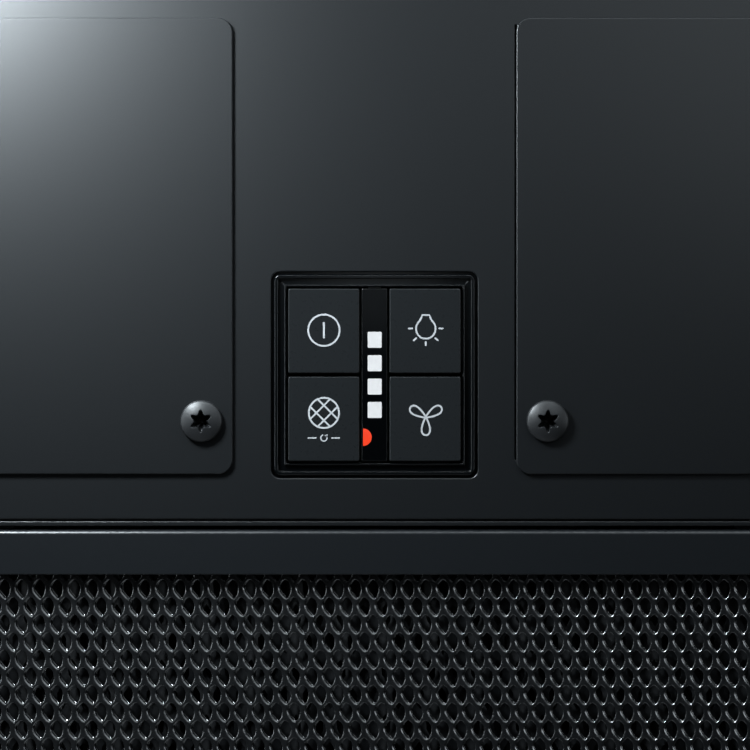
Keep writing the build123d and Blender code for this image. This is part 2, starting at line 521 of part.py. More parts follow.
pb -= cyl(GR_X, GR_Y, ZT - 1, ZT + 5, 12)
# the plate that holds the gland slides down into a notch in the end wall
gp = box(ex0, ex0 + 2, -46.9, -13.1, ZT + 4, ZT + 34) + box(ex0 + 1.9, ex0 + 3.2, -46.9, -13.1, ZT + 4, ZT + 34)
gp += box(ex0 + 2, ex0 + 3.2, -47.9, -12, ZT + 4, ZT + 34)
gp -= cyl_x(ex0 - 2, ex0 + 5, -30, ZT + 18, 8)
save("connection_box", pb, gp)
pc = plate(ex0 - 1.5, ex1 + 1.5, ey0 - 1.5, ey1 + 1.5, ZT + 34, ZT + 38, 5.5)
pc = fillet(pc.edges().group_by(Axis.Z)[-1], 1.5)
for x, y in BOXC:
    pc -= cyl(x, y, ZT + 30, ZT + 45, 1.9)
save("connection_box_cover", pc)
ss = []
for x, y in BOXC:
    q = fillet(cyl(x, y, ZT + 38, ZT + 40.2, 3.4).edges().group_by(Axis.Z)[-1], 1.0)
    q -= Pos(x, y, ZT + 39.9) * (Box(4.0, 0.8, 1.4) + Box(0.8, 4.0, 1.4))
    ss.append(q + cyl(x, y, ZT + 24, ZT + 38.5, 1.7))
save("connection_box_screws", *ss)
tb = box(-372, -334, -24, 22, ZT + 2, ZT + 20)
for i in range(3):
    tb -= cyl(-353, -15 + 14 * i, ZT + 12, ZT + 22, 2.6)
save("terminal_block", tb)
brd = box(-322, -264, -46, 22, ZT + 7, ZT + 8.6)
for x, y in POSTS:
    brd -= cyl(x, y, ZT + 5, ZT + 10, 1.3)
for x0, x1, y0, y1, z1 in ((-313, -298, -34, -15, 20), (-296, -281, -34, -15, 20), (-279, -267, -34, -15, 18), (-312, -280, -10, 12, 26)):
    brd += box(x0, x1, y0, y1, ZT + 8, ZT + 8.6 + z1 - 4)
save("power_board", brd)
gl = cyl_x(ex0 - 1, ex0 + 9, -30, ZT + 18, 8)
gl += Pos(ex0 - 6, -30, ZT + 18) * (Plane.YZ.location * extrude(RegularPolygon(12.0, 6), 6))
gl += cyl_x(ex0 - 16, ex0 - 5, -30, ZT + 18, 9)
gl += Pos(ex0 + 3.2, -30, ZT + 18) * (Plane.YZ.location * extrude(RegularPolygon(11.0, 6), 4))
gl -= cyl_x(ex0 - 30, ex0 + 20, -30, ZT + 18, 4.0)
save("cable_gland", gl)
gr = cyl(GR_X, GR_Y, ZT - G - 2, ZT + 4, 14) - cyl(GR_X, GR_Y, ZT - G - 3, ZT + 5, 9.5)
gr -= cyl(GR_X, GR_Y, ZT - G, ZT + 2, 15) - cyl(GR_X, GR_Y, ZT - 5, ZT + 5, 12)
save("cable_grommet", gr)

# ---------------------------------------------------------------- internal leads, held along their routes


def lead(r, *pts):
    radii = []
    for i in range(1, len(pts) - 1):
        a = Vector(*pts[i - 1]) - Vector(*pts[i])
        b = Vector(*pts[i + 1]) - Vector(*pts[i])
        turn = 180.0 - a.get_angle(b)
        radii.append(min(15.0, 0.45 * min(a.length, b.length) / math.tan(math.radians(turn / 2))))
    path = FilletPolyline(*pts, radius=radii)
    d = (Vector(*pts[1]) - Vector(*pts[0])).normalized()
    sec = Plane(origin=pts[0], z_dir=d) * Circle(r)
    s = sweep(sec, path=path)
    print("lead", r, "radii", [round(v, 1) for v in radii], "volume", round(s.volume), "of", round(math.pi * r * r * path.length))
    return s


ZL = ZT + 12
save("control_lead", lead(2.6, (-304.5, 40, ZL), (-304.5, 40, -50), (-304.5, -205, -50), (-304.5, -205, ZU + 8.5), (-12, -205, ZU + 8.5), (-12, YM - 22.4, ZU + 8.5)))
lead_l = lead(1.9, (-296.5, 36.5, ZL), (-296.5, 36.5, -24), (-LAMP_X, YM + 10, -24), (-LAMP_X, YM + 10, ZU + 12.0))
lead_r = lead(1.9, (-296.5, 43.5, ZL), (-296.5, 43.5, -36), (-296.5, -185, -36), (LAMP_X, -185, -36), (LAMP_X, YM + 10, -36), (LAMP_X, YM + 10, ZU + 12.0))
lead_m = lead(2.2, (-301.5, 46.2, ZL), (-301.5, 46.2, -96), (100, WY, -96), (100, WY, WZ), (62, WY, WZ))
save("supply_leads", lead_l, lead_r, lead_m)
print("done")
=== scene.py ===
import bpy
import bmesh
import json
import math
from mathutils import Vector, Matrix
from mathutils.geometry import tessellate_polygon


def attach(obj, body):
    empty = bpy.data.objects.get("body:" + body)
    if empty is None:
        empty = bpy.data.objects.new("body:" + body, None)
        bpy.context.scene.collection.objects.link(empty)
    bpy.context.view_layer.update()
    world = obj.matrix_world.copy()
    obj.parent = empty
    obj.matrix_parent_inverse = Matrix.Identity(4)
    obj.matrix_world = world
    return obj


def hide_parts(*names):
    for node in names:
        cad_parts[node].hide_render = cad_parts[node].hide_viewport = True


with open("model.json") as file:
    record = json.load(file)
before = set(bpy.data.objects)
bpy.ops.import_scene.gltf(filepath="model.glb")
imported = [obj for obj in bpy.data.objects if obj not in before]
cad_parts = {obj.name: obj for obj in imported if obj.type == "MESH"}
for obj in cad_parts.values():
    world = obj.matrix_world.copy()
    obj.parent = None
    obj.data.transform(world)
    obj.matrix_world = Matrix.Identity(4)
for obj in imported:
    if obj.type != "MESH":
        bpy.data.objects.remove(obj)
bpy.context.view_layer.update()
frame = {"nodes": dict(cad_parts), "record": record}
sc = bpy.context.scene
M = 0.001
pi = math.pi

# ------------------------------------------------------------------ dimensions, mm, as the CAD has them
ZU, T, YM = -130.0, 1.2, -145.0
Y_F0, Y_F1 = -232.0, YM + 33.0
Y_L0, Y_L1 = YM + 33.55, YM + 34.7
OX, YR = 412.5, 212.6
FY0, FD, FW, F_GAP = YM + 35.65, 321.0, 273.4, 0.9
FH, F_LIP, FS, F_HEM = 9.0, 10.25, 0.7, 1.5
ZF = ZU - 0.8
FXC = {"left": -(FW + F_GAP), "centre": 0.0, "right": FW + F_GAP}
LX = 26.0
LY1 = FY0 + FD - F_LIP
LY0 = LY1 - 24.0
K = 0.23                     # mm in one pixel of the photograph's frame
CX, CY = 374.45, 374.9       # the key module's centre there


def px(x):
    return (x - CX) * K


def py(y):
    return YM + (y - CY) * K


# ------------------------------------------------------------------ mesh helpers
def rr(x0, x1, y0, y1, r=0.0, n=6):
    """A rectangle's outline with round corners, as a function of how far it is grown."""
    def f(d=0.0):
        a0, a1, b0, b1 = x0 - d, x1 + d, y0 - d, y1 + d
        if r <= 0:
            return [(a1, b1), (a0, b1), (a0, b0), (a1, b0)]
        q = max(r + d, 0.02)
        out = []
        for cx, cy, s in ((a1 - q, b1 - q, 0), (a0 + q, b1 - q, 90), (a0 + q, b0 + q, 180), (a1 - q, b0 + q, 270)):
            for k in range(n + 1):
                t = math.radians(s + 90 * k / n)
                out.append((cx + q * math.cos(t), cy + q * math.sin(t)))
        return out
    return f


def circ(cx, cy, r, n=40, a0=0.0):
    def f(d=0.0):
        return [(cx + (r + d) * math.cos(a0 + 2 * pi * k / n), cy + (r + d) * math.sin(a0 + 2 * pi * k / n)) for k in range(n)]
    return f


def poly(points):
    """An outline from points, anticlockwise, grown along its corners' normals."""
    def f(d=0.0):
        out, n = [], len(points)
        for i in range(n):
            p0, p1, p2 = Vector(points[i - 1]), Vector(points[i]), Vector(points[(i + 1) % n])
            e1, e2 = (p1 - p0).normalized(), (p2 - p1).normalized()
            n1, n2 = Vector((e1.y, -e1.x)), Vector((e2.y, -e2.x))
            m = n1 + n2
            m = m / max(m.length_squared / 2, 0.3)
            out.append(tuple(p1 + m * d))
        return out
    return f


XY = Matrix.Identity(4)
# local (u, v, w) to (x, y, z)
XZ = Matrix(((1, 0, 0, 0), (0, 0, 1, 0), (0, 1, 0, 0), (0, 0, 0, 1)))     # u = x, v = z, w = y
YZ = Matrix(((0, 0, 1, 0), (1, 0, 0, 0), (0, 1, 0, 0), (0, 0, 0, 1)))     # u = y, v = z, w = x


class Piece:
    """Collects closed shells, in mm, and makes one object of them."""

    def __init__(self):
        self.bm = bmesh.new()
        self.t = XY

    def v(self, u, v, w):
        p = self.t @ Vector((u, v, w))
        return self.bm.verts.new((p.x * M, p.y * M, p.z * M))

    def face(self, vs):
        try:
            return self.bm.faces.new(vs)
        except ValueError:
            return None

    def bridge(self, a, b):
        n = len(a)
        for i in range(n):
            j = (i + 1) % n
            self.face((a[i], a[j], b[j], b[i]))

    def cap(self, loops):
        if len(loops) == 1:
            self.face(loops[0])
            return
        flat = [v for lp in loops for v in lp]
        inv = self.t.inverted()
        pl = [[(inv @ v.co) for v in lp] for lp in loops]
        pl = [[Vector((q.x, q.y, 0.0)) for q in lp] for lp in pl]
        for tri in tessellate_polygon(pl):
            self.face([flat[i] for i in tri])

    def loft(self, loops, caps=True):
        """loops: lists of (u, v, w) with equal lengths."""
        rows = [[self.v(*p) for p in lp] for lp in loops]
        for a, b in zip(rows, rows[1:]):
            self.bridge(a, b)
        if caps:
            self.cap([rows[0]])
            self.cap([rows[-1]])
        return rows

    def sweep(self, outline, prof, caps=True):
        """prof: (grown by, w) pairs round one outline."""
        return self.loft([[(x, y, w) for x, y in outline(d)] for d, w in prof], caps)

    def ring(self, outline, prof):
        """A closed section (grown by, w) swept round an outline."""
        rows = [[self.v(x, y, w) for x, y in outline(d)] for d, w in prof]
        for i in range(len(rows)):
            self.bridge(rows[i], rows[(i + 1) % len(rows)])
        return rows

    def plate(self, outer, holes, w0, w1, b0=0.0, b1=0.0, nb=3, hb0=None, hb1=None):
        """A plate between w0 < w1 with holes, its edges rounded by b0 on the w0 face and b1 on the w1 face."""
        hb0 = b0 if hb0 is None else hb0
        hb1 = b1 if hb1 is None else hb1
        lo, hi = [], []
        for i, ol in enumerate([outer] + list(holes)):
            s = 1 if i == 0 else -1
            c0, c1 = (b0, b1) if i == 0 else (hb0, hb1)
            prof = []
            if c0 > 0:
                for k in range(nb + 1):
                    t = pi / 2 * k / nb
                    prof.append((-s * c0 * (1 - math.sin(t)), w0 + c0 * (1 - math.cos(t))))
            else:
                prof.append((0.0, w0))
            if c1 > 0:
                for k in range(nb + 1):
                    t = pi / 2 * k / nb
                    prof.append((-s * c1 * (1 - math.cos(t)), w1 - c1 * (1 - math.sin(t))))
            else:
                prof.append((0.0, w1))
            rows = self.sweep(ol, prof, caps=False)
            lo.append(rows[0])
            hi.append(rows[-1])
        self.cap(lo)
        self.cap(hi)

    def box(self, x0, x1, y0, y1, z0, z1, b=0.15, r=None, n=2, nb=2):
        if b <= 0:
            self.plate(rr(x0, x1, y0, y1, 0), [], z0, z1)
        else:
            self.plate(rr(x0, x1, y0, y1, r or b, n), [], z0, z1, b, b, nb)

    def revolve(self, prof, cx, cy, n=48, close=False):
        """prof: (radius, w) pairs round an axis along w at (cx, cy). Ends at radius 0 are closed to a point."""
        rows = []
        for r, w in prof:
            if r <= 1e-6:
                rows.append([self.v(cx, cy, w)])
            else:
                rows.append([self.v(cx + r * math.cos(2 * pi * k / n), cy + r * math.sin(2 * pi * k / n), w) for k in range(n)])
        pairs = list(zip(rows, rows[1:]))
        if close:
            pairs.append((rows[-1], rows[0]))
        for a, b in pairs:
            if len(a) == 1 and len(b) == 1:
                continue
            if len(a) == 1:
                for k in range(n):
                    self.face((a[0], b[k], b[(k + 1) % n]))
            elif len(b) == 1:
                for k in range(n):
                    self.face((a[k], b[0], a[(k + 1) % n]))
            else:
                self.bridge(a, b)
        if not close:
            for row in (rows[0], rows[-1]):
                if len(row) > 1:
                    self.cap([row])

    def make(self, name, mat, body="casing", replaces=(), angle=38.0, weighted=True, loc=(0, 0, 0)):
        bm = self.bm
        bmesh.ops.remove_doubles(bm, verts=bm.verts, dist=1e-8)
        bmesh.ops.recalc_face_normals(bm, faces=bm.faces)
        me = bpy.data.meshes.new(name)
        bm.to_mesh(me)
        bm.free()
        return finish_mesh(me, name, mat, body, replaces, angle, weighted, loc)


def finish_mesh(me, name, mat, body="casing", replaces=(), angle=38.0, weighted=True, loc=(0, 0, 0)):
    me.polygons.foreach_set("use_smooth", [True] * len(me.polygons))
    me.set_sharp_from_angle(angle=math.radians(angle))
    ob = bpy.data.objects.new(name, me)
    sc.collection.objects.link(ob)
    if weighted:
        wn = ob.modifiers.new("wn", "WEIGHTED_NORMAL")
        wn.mode = "FACE_AREA"
        wn.weight = 100
        wn.keep_sharp = True
        bpy.context.view_layer.update()
        dg = bpy.context.evaluated_depsgraph_get()
        new = bpy.data.meshes.new_from_object(ob.evaluated_get(dg))
        ob.modifiers.clear()
        ob.data = new
        bpy.data.meshes.remove(me)
        new.name = name
    ob.data.materials.clear()
    ob.data.materials.append(mat)
    ob.location = [c * M for c in loc]
    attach(ob, body)
    if replaces:
        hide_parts(*replaces)
    return ob


# ------------------------------------------------------------------ materials
def mat(name, c0, c1=None, rough=(0.4, 0.5), metallic=0.0, spec=0.5, scale=900.0, rscale=None, bump=None, coat=None, emit=None, ior=None, emit_below=None):
    """Procedural finish: base colour and roughness vary with noise, bump = (strength, distance in m, noise scale)."""
    m = bpy.data.materials.new(name)
    m.use_nodes = True
    nt = m.node_tree
    nt.nodes.clear()
    out = nt.nodes.new("ShaderNodeOutputMaterial")
    bs = nt.nodes.new("ShaderNodeBsdfPrincipled")
    nt.links.new(bs.outputs[0], out.inputs[0])
    tc = nt.nodes.new("ShaderNodeTexCoord")
    c1 = c1 or tuple(c * 1.18 for c in c0)
    nz = nt.nodes.new("ShaderNodeTexNoise")
    nz.inputs["Scale"].default_value = scale
    nz.inputs["Detail"].default_value = 4.0
    nt.links.new(tc.outputs["Object"], nz.inputs["Vector"])
    cr = nt.nodes.new("ShaderNodeValToRGB")
    cr.color_ramp.elements[0].position, cr.color_ramp.elements[1].position = 0.3, 0.7
    cr.color_ramp.elements[0].color = (*c0, 1)
    cr.color_ramp.elements[1].color = (*c1, 1)
    nt.links.new(nz.outputs["Fac"], cr.inputs["Fac"])
    nt.links.new(cr.outputs[0], bs.inputs["Base Color"])
    n2 = nt.nodes.new("ShaderNodeTexNoise")
    n2.inputs["Scale"].default_value = rscale or scale * 0.31
    n2.inputs["Detail"].default_value = 3.0
    nt.links.new(tc.outputs["Object"], n2.inputs["Vector"])
    mr = nt.nodes.new("ShaderNodeMapRange")
    mr.inputs["From Min"].default_value, mr.inputs["From Max"].default_value = 0.3, 0.7
    mr.inputs["To Min"].default_value, mr.inputs["To Max"].default_value = rough
    nt.links.new(n2.outputs["Fac"], mr.inputs["Value"])
    nt.links.new(mr.outputs[0], bs.inputs["Roughness"])
    bs.inputs["Metallic"].default_value = metallic
    bs.inputs["Specular IOR Level"].default_value = spec
    if ior:
        bs.inputs["IOR"].default_value = ior
    if coat:
        bs.inputs["Coat Weight"].default_value, bs.inputs["Coat Roughness"].default_value = coat
    if bump:
        n3 = nt.nodes.new("ShaderNodeTexNoise")
        n3.inputs["Scale"].default_value = bump[2]
        n3.inputs["Detail"].default_value = 2.0
        nt.links.new(tc.outputs["Object"], n3.inputs["Vector"])
        bp = nt.nodes.new("ShaderNodeBump")
        bp.inputs["Strength"].default_value = bump[0]
        bp.inputs["Distance"].default_value = bump[1]
        nt.links.new(n3.outputs["Fac"], bp.inputs["Height"])
        nt.links.new(bp.outputs[0], bs.inputs["Normal"])
    if emit:
        bs.inputs["Emission Color"].default_value = (*emit[0], 1)
        bs.inputs["Emission Strength"].default_value = emit[1]
        if emit_below is not None:
            # only the end of the light pipe at its face is lit
            sx = nt.nodes.new("ShaderNodeSeparateXYZ")
            nt.links.new(tc.outputs["Object"], sx.inputs[0])
            m2 = nt.nodes.new("ShaderNodeMapRange")
            m2.inputs["From Min"].default_value, m2.inputs["From Max"].default_value = (emit_below - 0.05) * M, (emit_below + 0.05) * M
            m2.inputs["To Min"].default_value, m2.inputs["To Max"].default_value = emit[1], 0.0
            nt.links.new(sx.outputs["Z"], m2.inputs["Value"])
            nt.links.new(m2.outputs[0], bs.inputs["Emission Strength"])
    return m


MATS = {
    "black_coat": mat("black_coat", (0.0024, 0.0031, 0.0038), (0.0028, 0.0035, 0.0043), (0.368, 0.378), spec=0.5, scale=1800, rscale=900, bump=(0.015, 0.000004, 6000)),
    "black_screw": mat("black_screw", (0.0068, 0.0073, 0.0081), None, (0.42, 0.45), spec=0.5, scale=2500, bump=(0.03, 0.000006, 5000)),
    "zinc_steel": mat("zinc_steel", (0.55, 0.56, 0.57), (0.68, 0.69, 0.70), (0.25, 0.4), metallic=1.0, scale=600, bump=(0.08, 0.00003, 2500)),
    "bezel_plastic": mat("bezel_plastic", (0.0008, 0.0011, 0.0014), None, (0.15, 0.16), spec=0.75, scale=1500),
    "black_plastic": mat("black_plastic", (0.018, 0.019, 0.021), None, (0.5, 0.62), scale=1200, bump=(0.12, 0.00003, 3500)),
    "key_plastic": mat("key_plastic", (0.0078, 0.0088, 0.0096), (0.0084, 0.0094, 0.0102), (0.27, 0.29), spec=0.28, scale=3000, bump=(0.02, 0.000004, 9000)),
    "window_gloss": mat("window_gloss", (0.0004, 0.0006, 0.0008), None, (0.13, 0.135), spec=0.5, scale=900),
    "white_light": mat("white_light", (0.2, 0.2, 0.2), (0.24, 0.24, 0.24), (0.3, 0.4), emit=((0.97, 0.985, 1.0), 0.42), emit_below=ZU - 0.6),
    "orange_light": mat("orange_light", (0.20, 0.02, 0.006), None, (0.3, 0.4), emit=((1.0, 0.036, 0.009), 0.62), emit_below=ZU - 0.6),
    "white_diffuser": mat("white_diffuser", (0.82, 0.82, 0.78), None, (0.4, 0.5)),
    "circuit_board": mat("circuit_board", (0.006, 0.03, 0.014), (0.008, 0.04, 0.018), (0.3, 0.4), scale=300),
    "led_board": mat("led_board", (0.8, 0.81, 0.81), None, (0.3, 0.4), scale=300),
    "lamp_diffuser": mat("lamp_diffuser", (0.78, 0.79, 0.78), (0.84, 0.85, 0.84), (0.28, 0.34), scale=500, bump=(0.06, 0.00004, 2500), emit=((1.0, 0.97, 0.92), 0.12)),
    "galvanised": None,
    "galvanised_thick": None,
    "flap_aluminium": mat("flap_aluminium", (0.7, 0.71, 0.72), (0.78, 0.79, 0.8), (0.3, 0.42), metallic=1.0, scale=200, bump=(0.05, 0.00003, 1200)),
    "filter_band": mat("filter_band", (0.0046, 0.0056, 0.0068), (0.0050, 0.0061, 0.0074), (0.335, 0.35), spec=0.5, scale=1800, rscale=900, bump=(0.015, 0.000004, 6000)),
    "filter_mesh": mat("filter_mesh", (0.0024, 0.0028, 0.0033), (0.0031, 0.0036, 0.0042), (0.25, 0.29), spec=0.9, ior=1.8, scale=1400, bump=(0.04, 0.000008, 4000)),
    # painted shade: the folded pad and the upper mesh get a darker copy of the filter mesh's black, standing in for
    # the shade inside the filter
    "filter_layers": mat("filter_layers", (0.0016, 0.0019, 0.0024), (0.0022, 0.0026, 0.0032), (0.42, 0.5), spec=0.35, scale=1400, bump=(0.05, 0.00001, 4000)),
    "motor_case": mat("motor_case", (0.38, 0.39, 0.4), (0.46, 0.47, 0.48), (0.4, 0.5), metallic=0.6, scale=300),
    "capacitor_can": mat("capacitor_can", (0.74, 0.74, 0.74), (0.8, 0.8, 0.8), (0.25, 0.35), metallic=1.0, scale=300),
    "grey_plastic": mat("grey_plastic", (0.42, 0.43, 0.44), (0.47, 0.48, 0.49), (0.45, 0.55), scale=700, bump=(0.15, 0.00004, 2600)),
    "ivory_plastic": mat("ivory_plastic", (0.72, 0.7, 0.6), (0.78, 0.76, 0.66), (0.4, 0.5), scale=500),
    "grommet_rubber": mat("grommet_rubber", (0.02, 0.02, 0.02), None, (0.65, 0.75), scale=700),
    "cable_sheath": mat("cable_sheath", (0.5, 0.5, 0.5), (0.56, 0.56, 0.56), (0.5, 0.6), scale=500),
    "print_white": mat("print_white", (0.32, 0.325, 0.335), (0.35, 0.355, 0.365), (0.5, 0.6), spec=0.3, scale=3000),
}


def galvanised(name, lo, hi, flake):
    """Zinc coated sheet: spangle flakes from a cell pattern, each with its own tone and gloss."""
    m = bpy.data.materials.new(name)
    m.use_nodes = True
    nt = m.node_tree
    nt.nodes.clear()
    out = nt.nodes.new("ShaderNodeOutputMaterial")
    bs = nt.nodes.new("ShaderNodeBsdfPrincipled")
    nt.links.new(bs.outputs[0], out.inputs[0])
    tc = nt.nodes.new("ShaderNodeTexCoord")
    nz = nt.nodes.new("ShaderNodeTexNoise")
    nz.inputs["Scale"].default_value = flake * 0.7
    nz.inputs["Detail"].default_value = 2.0
    nt.links.new(tc.outputs["Object"], nz.inputs["Vector"])
    mx = nt.nodes.new("ShaderNodeMix")
    mx.data_type = "VECTOR"
    mx.inputs["Factor"].default_value = 0.012
    nt.links.new(tc.outputs["Object"], mx.inputs[4])
    nt.links.new(nz.outputs["Color"], mx.inputs[5])
    vo = nt.nodes.new("ShaderNodeTexVoronoi")
    vo.inputs["Scale"].default_value = flake
    nt.links.new(mx.outputs[1], vo.inputs["Vector"])
    sp = nt.nodes.new("ShaderNodeSeparateColor")
    nt.links.new(vo.outputs["Color"], sp.inputs[0])
    cr = nt.nodes.new("ShaderNodeValToRGB")
    cr.color_ramp.elements[0].color = (lo, lo * 1.015, lo * 1.03, 1)
    cr.color_ramp.elements[1].color = (hi, hi * 1.012, hi * 1.025, 1)
    nt.links.new(sp.outputs[0], cr.inputs["Fac"])
    nt.links.new(cr.outputs[0], bs.inputs["Base Color"])
    mr = nt.nodes.new("ShaderNodeMapRange")
    mr.inputs["To Min"].default_value, mr.inputs["To Max"].default_value = 0.38, 0.43
    nt.links.new(sp.outputs[1], mr.inputs["Value"])
    nt.links.new(mr.outputs[0], bs.inputs["Roughness"])
    n3 = nt.nodes.new("ShaderNodeTexNoise")
    n3.inputs["Scale"].default_value = 900.0
    nt.links.new(tc.outputs["Object"], n3.inputs["Vector"])
    bp = nt.nodes.new("ShaderNodeBump")
    bp.inputs["Strength"].default_value = 0.08
    bp.inputs["Distance"].default_value = 0.00005
    nt.links.new(n3.outputs["Fac"], bp.inputs["Height"])
    nt.links.new(bp.outputs[0], bs.inputs["Normal"])
    bs.inputs["Metallic"].default_value = 1.0
    return m


MATS["galvanised"] = galvanised("galvanised", 0.34, 0.385, 150.0)
MATS["galvanised_thick"] = galvanised("galvanised_thick", 0.32, 0.365, 190.0)

slot_of = {s["node"]: s["material_slot"] for s in frame["record"]["subparts"]}
for n, o in frame["nodes"].items():
    o.data.materials.clear()
    o.data.materials.append(MATS[slot_of[n]])
    o.data.polygons.foreach_set("use_smooth", [True] * len(o.data.polygons))
    o.data.set_sharp_from_angle(angle=math.radians(32))

# ------------------------------------------------------------------ canopy frame
p = Piece()
tray = rr(-450, 450, -250, 250, 6.0, 8)
RB, RT = 1.6, 1.0
prof = [(-RB * (1 - math.sin(pi / 2 * k / 5)), ZU + RB * (1 - math.cos(pi / 2 * k / 5))) for k in range(6)]
prof += [(-RT * (1 - math.cos(pi / 2 * k / 4)), ZU + 20 - RT * (1 - math.sin(pi / 2 * k / 4))) for k in range(5)]
prof += [(-6.7, ZU + 20), (-7, ZU + 19.7), (-7, ZU + 19.1), (-6.7, ZU + 18.8), (-1.4, ZU + 18.8), (-1.2, ZU + 18.6), (-1.2, ZU + 1.8), (-1.8, ZU + T)]
rows = p.sweep(tray, prof, caps=False)
hole = rr(-OX, OX, Y_F0 - 0.5, YR, 0)
hrows = p.sweep(hole, [(0.3, ZU), (0.09, ZU + 0.09), (0, ZU + 0.3), (0, ZU + T)], caps=False)
p.cap([rows[0], hrows[0]])
p.cap([rows[-1], hrows[-1]])
# thin wall behind the control strip, with the filter tabs' slots
p.t = XZ
slots = [rr(cx + dx - 9, cx + dx + 9, ZF + 2.8, ZF + 8.0, 0.4, 2) for cx in FXC.values() for dx in (-90, 90)]
p.plate(rr(-OX - 1.15, OX + 1.15, ZU - 0.1, ZU + 15, 0.3, 4), slots, Y_L0 + 0.14, Y_L1, 0.20, 0.20, 4)
# rear wall with the latch slots
p.plate(rr(-OX - 1.15, OX + 1.15, ZU + T, ZU + 15, 0.2, 2), [rr(cx - 9.5, cx + 9.5, ZF + 2.6, ZF + 6.4, 0.4, 2) for cx in FXC.values()], YR, YR + 1.15, 0.2, 0.2, 2)
p.t = YZ
for s in (-1, 1):
    a, b = sorted((s * OX, s * (OX + 1.15)))
    p.plate(rr(Y_L1 + 0.02, YR - 0.02, ZU + T, ZU + 15, 0.2, 2), [], a, b, 0.2, 0.2, 2)
p.t = XY
p.plate(rr(-OX - 7.5, OX + 7.5, Y_F0 - 6, Y_L0 - 0.02, 0.5, 2), [rr(-OX + 8.5, OX - 8.5, Y_F0 + 6.0, YM + 28.05, 0.5, 2)], ZU + T, ZU + 2 * T, 0.0, 0.2, 2)
p.make("canopy_tray", MATS["black_coat"], "casing", ["canopy_frame"])

# ------------------------------------------------------------------ control strip
p = Piece()
FX = OX - 0.6
holes = [rr(-23.74, 23.74, YM - 23.74, YM + 23.74, 2.0, 8)]
for s in (-1, 1):
    a, b = sorted((s * 50.0, s * 216.0))
    holes.append(rr(a, b, YM - 62, YM - 4, 6, 5))
    for x in (39.7, 225.5):
        holes.append(circ(s * x, YM + 10.6, 3.4, 32))
    for x in (70.0, 195.0):
        holes.append(rr(s * x - 7, s * x + 7, YM - 82 + 4.8, YM - 82 + 9.0, 0.4, 2))
    holes.append(rr(s * 318 - 75.3, s * 318 + 75.3, YM - 14.3, YM + 14.3, 4.3, 6))
# the strip is relieved along the inner edge of the right cover
holes.append(rr(32.35, 32.8, YM - 80.5, YM + 19.5, 0.15, 3))
p.plate(rr(-FX, FX, Y_F0, Y_F1 + 0.2, 0.3, 3), holes, ZU, ZU + T, 0.30, 0.1, 4)
for y in (Y_F0 + 3.0, YM + 30.5):
    for x in (-402.0, -240.0, -45.0, 45.0, 240.0, 402.0):
        p.revolve([(1.45, ZU + T - 0.2), (1.45, ZU + 5.2), (1.15, ZU + 5.6)], x, y, 20)
p.make("control_panel", MATS["black_coat"], "casing", ["control_strip"])

# ------------------------------------------------------------------ access covers
for s, side in ((-1, "left"), (1, "right")):
    p = Piece()
    a, b = sorted((s * 32.6, s * 232.6))
    y0, y1 = YM - 82.0, YM + 22.8
    p.plate(rr(a, b, y0, y1, 3.3, 10), [circ(s * x, YM + 10.6, 2.75, 32) for x in (39.7, 225.5)], ZU - 1.0, ZU, 0.28, 0.05, 5, hb0=0.15, hb1=0.0)
    for x in (70.0, 195.0):
        c = s * x
        p.t = YZ
        p.plate(poly([(y0 + 5.5, ZU), (y0 + 6.7, ZU), (y0 + 6.7, ZU + 2.5), (y0 + 1.8, ZU + 2.5), (y0 + 1.8, ZU + 1.35), (y0 + 5.5, ZU + 1.35)]), [], c - 6, c + 6, 0.12, 0.12, 2)
        p.t = XY
    p.make(f"cover_{side}", MATS["black_coat"], "casing", [f"access_cover_{side}"])


# ------------------------------------------------------------------ six-lobe button screws
def lobe_r(t):
    """Radius of the recess at angle t, one lobe towards -Y."""
    c = 0.5 + 0.5 * math.cos(6 * (t + pi / 2))
    return 1.66 + 1.0 * c ** 1.5


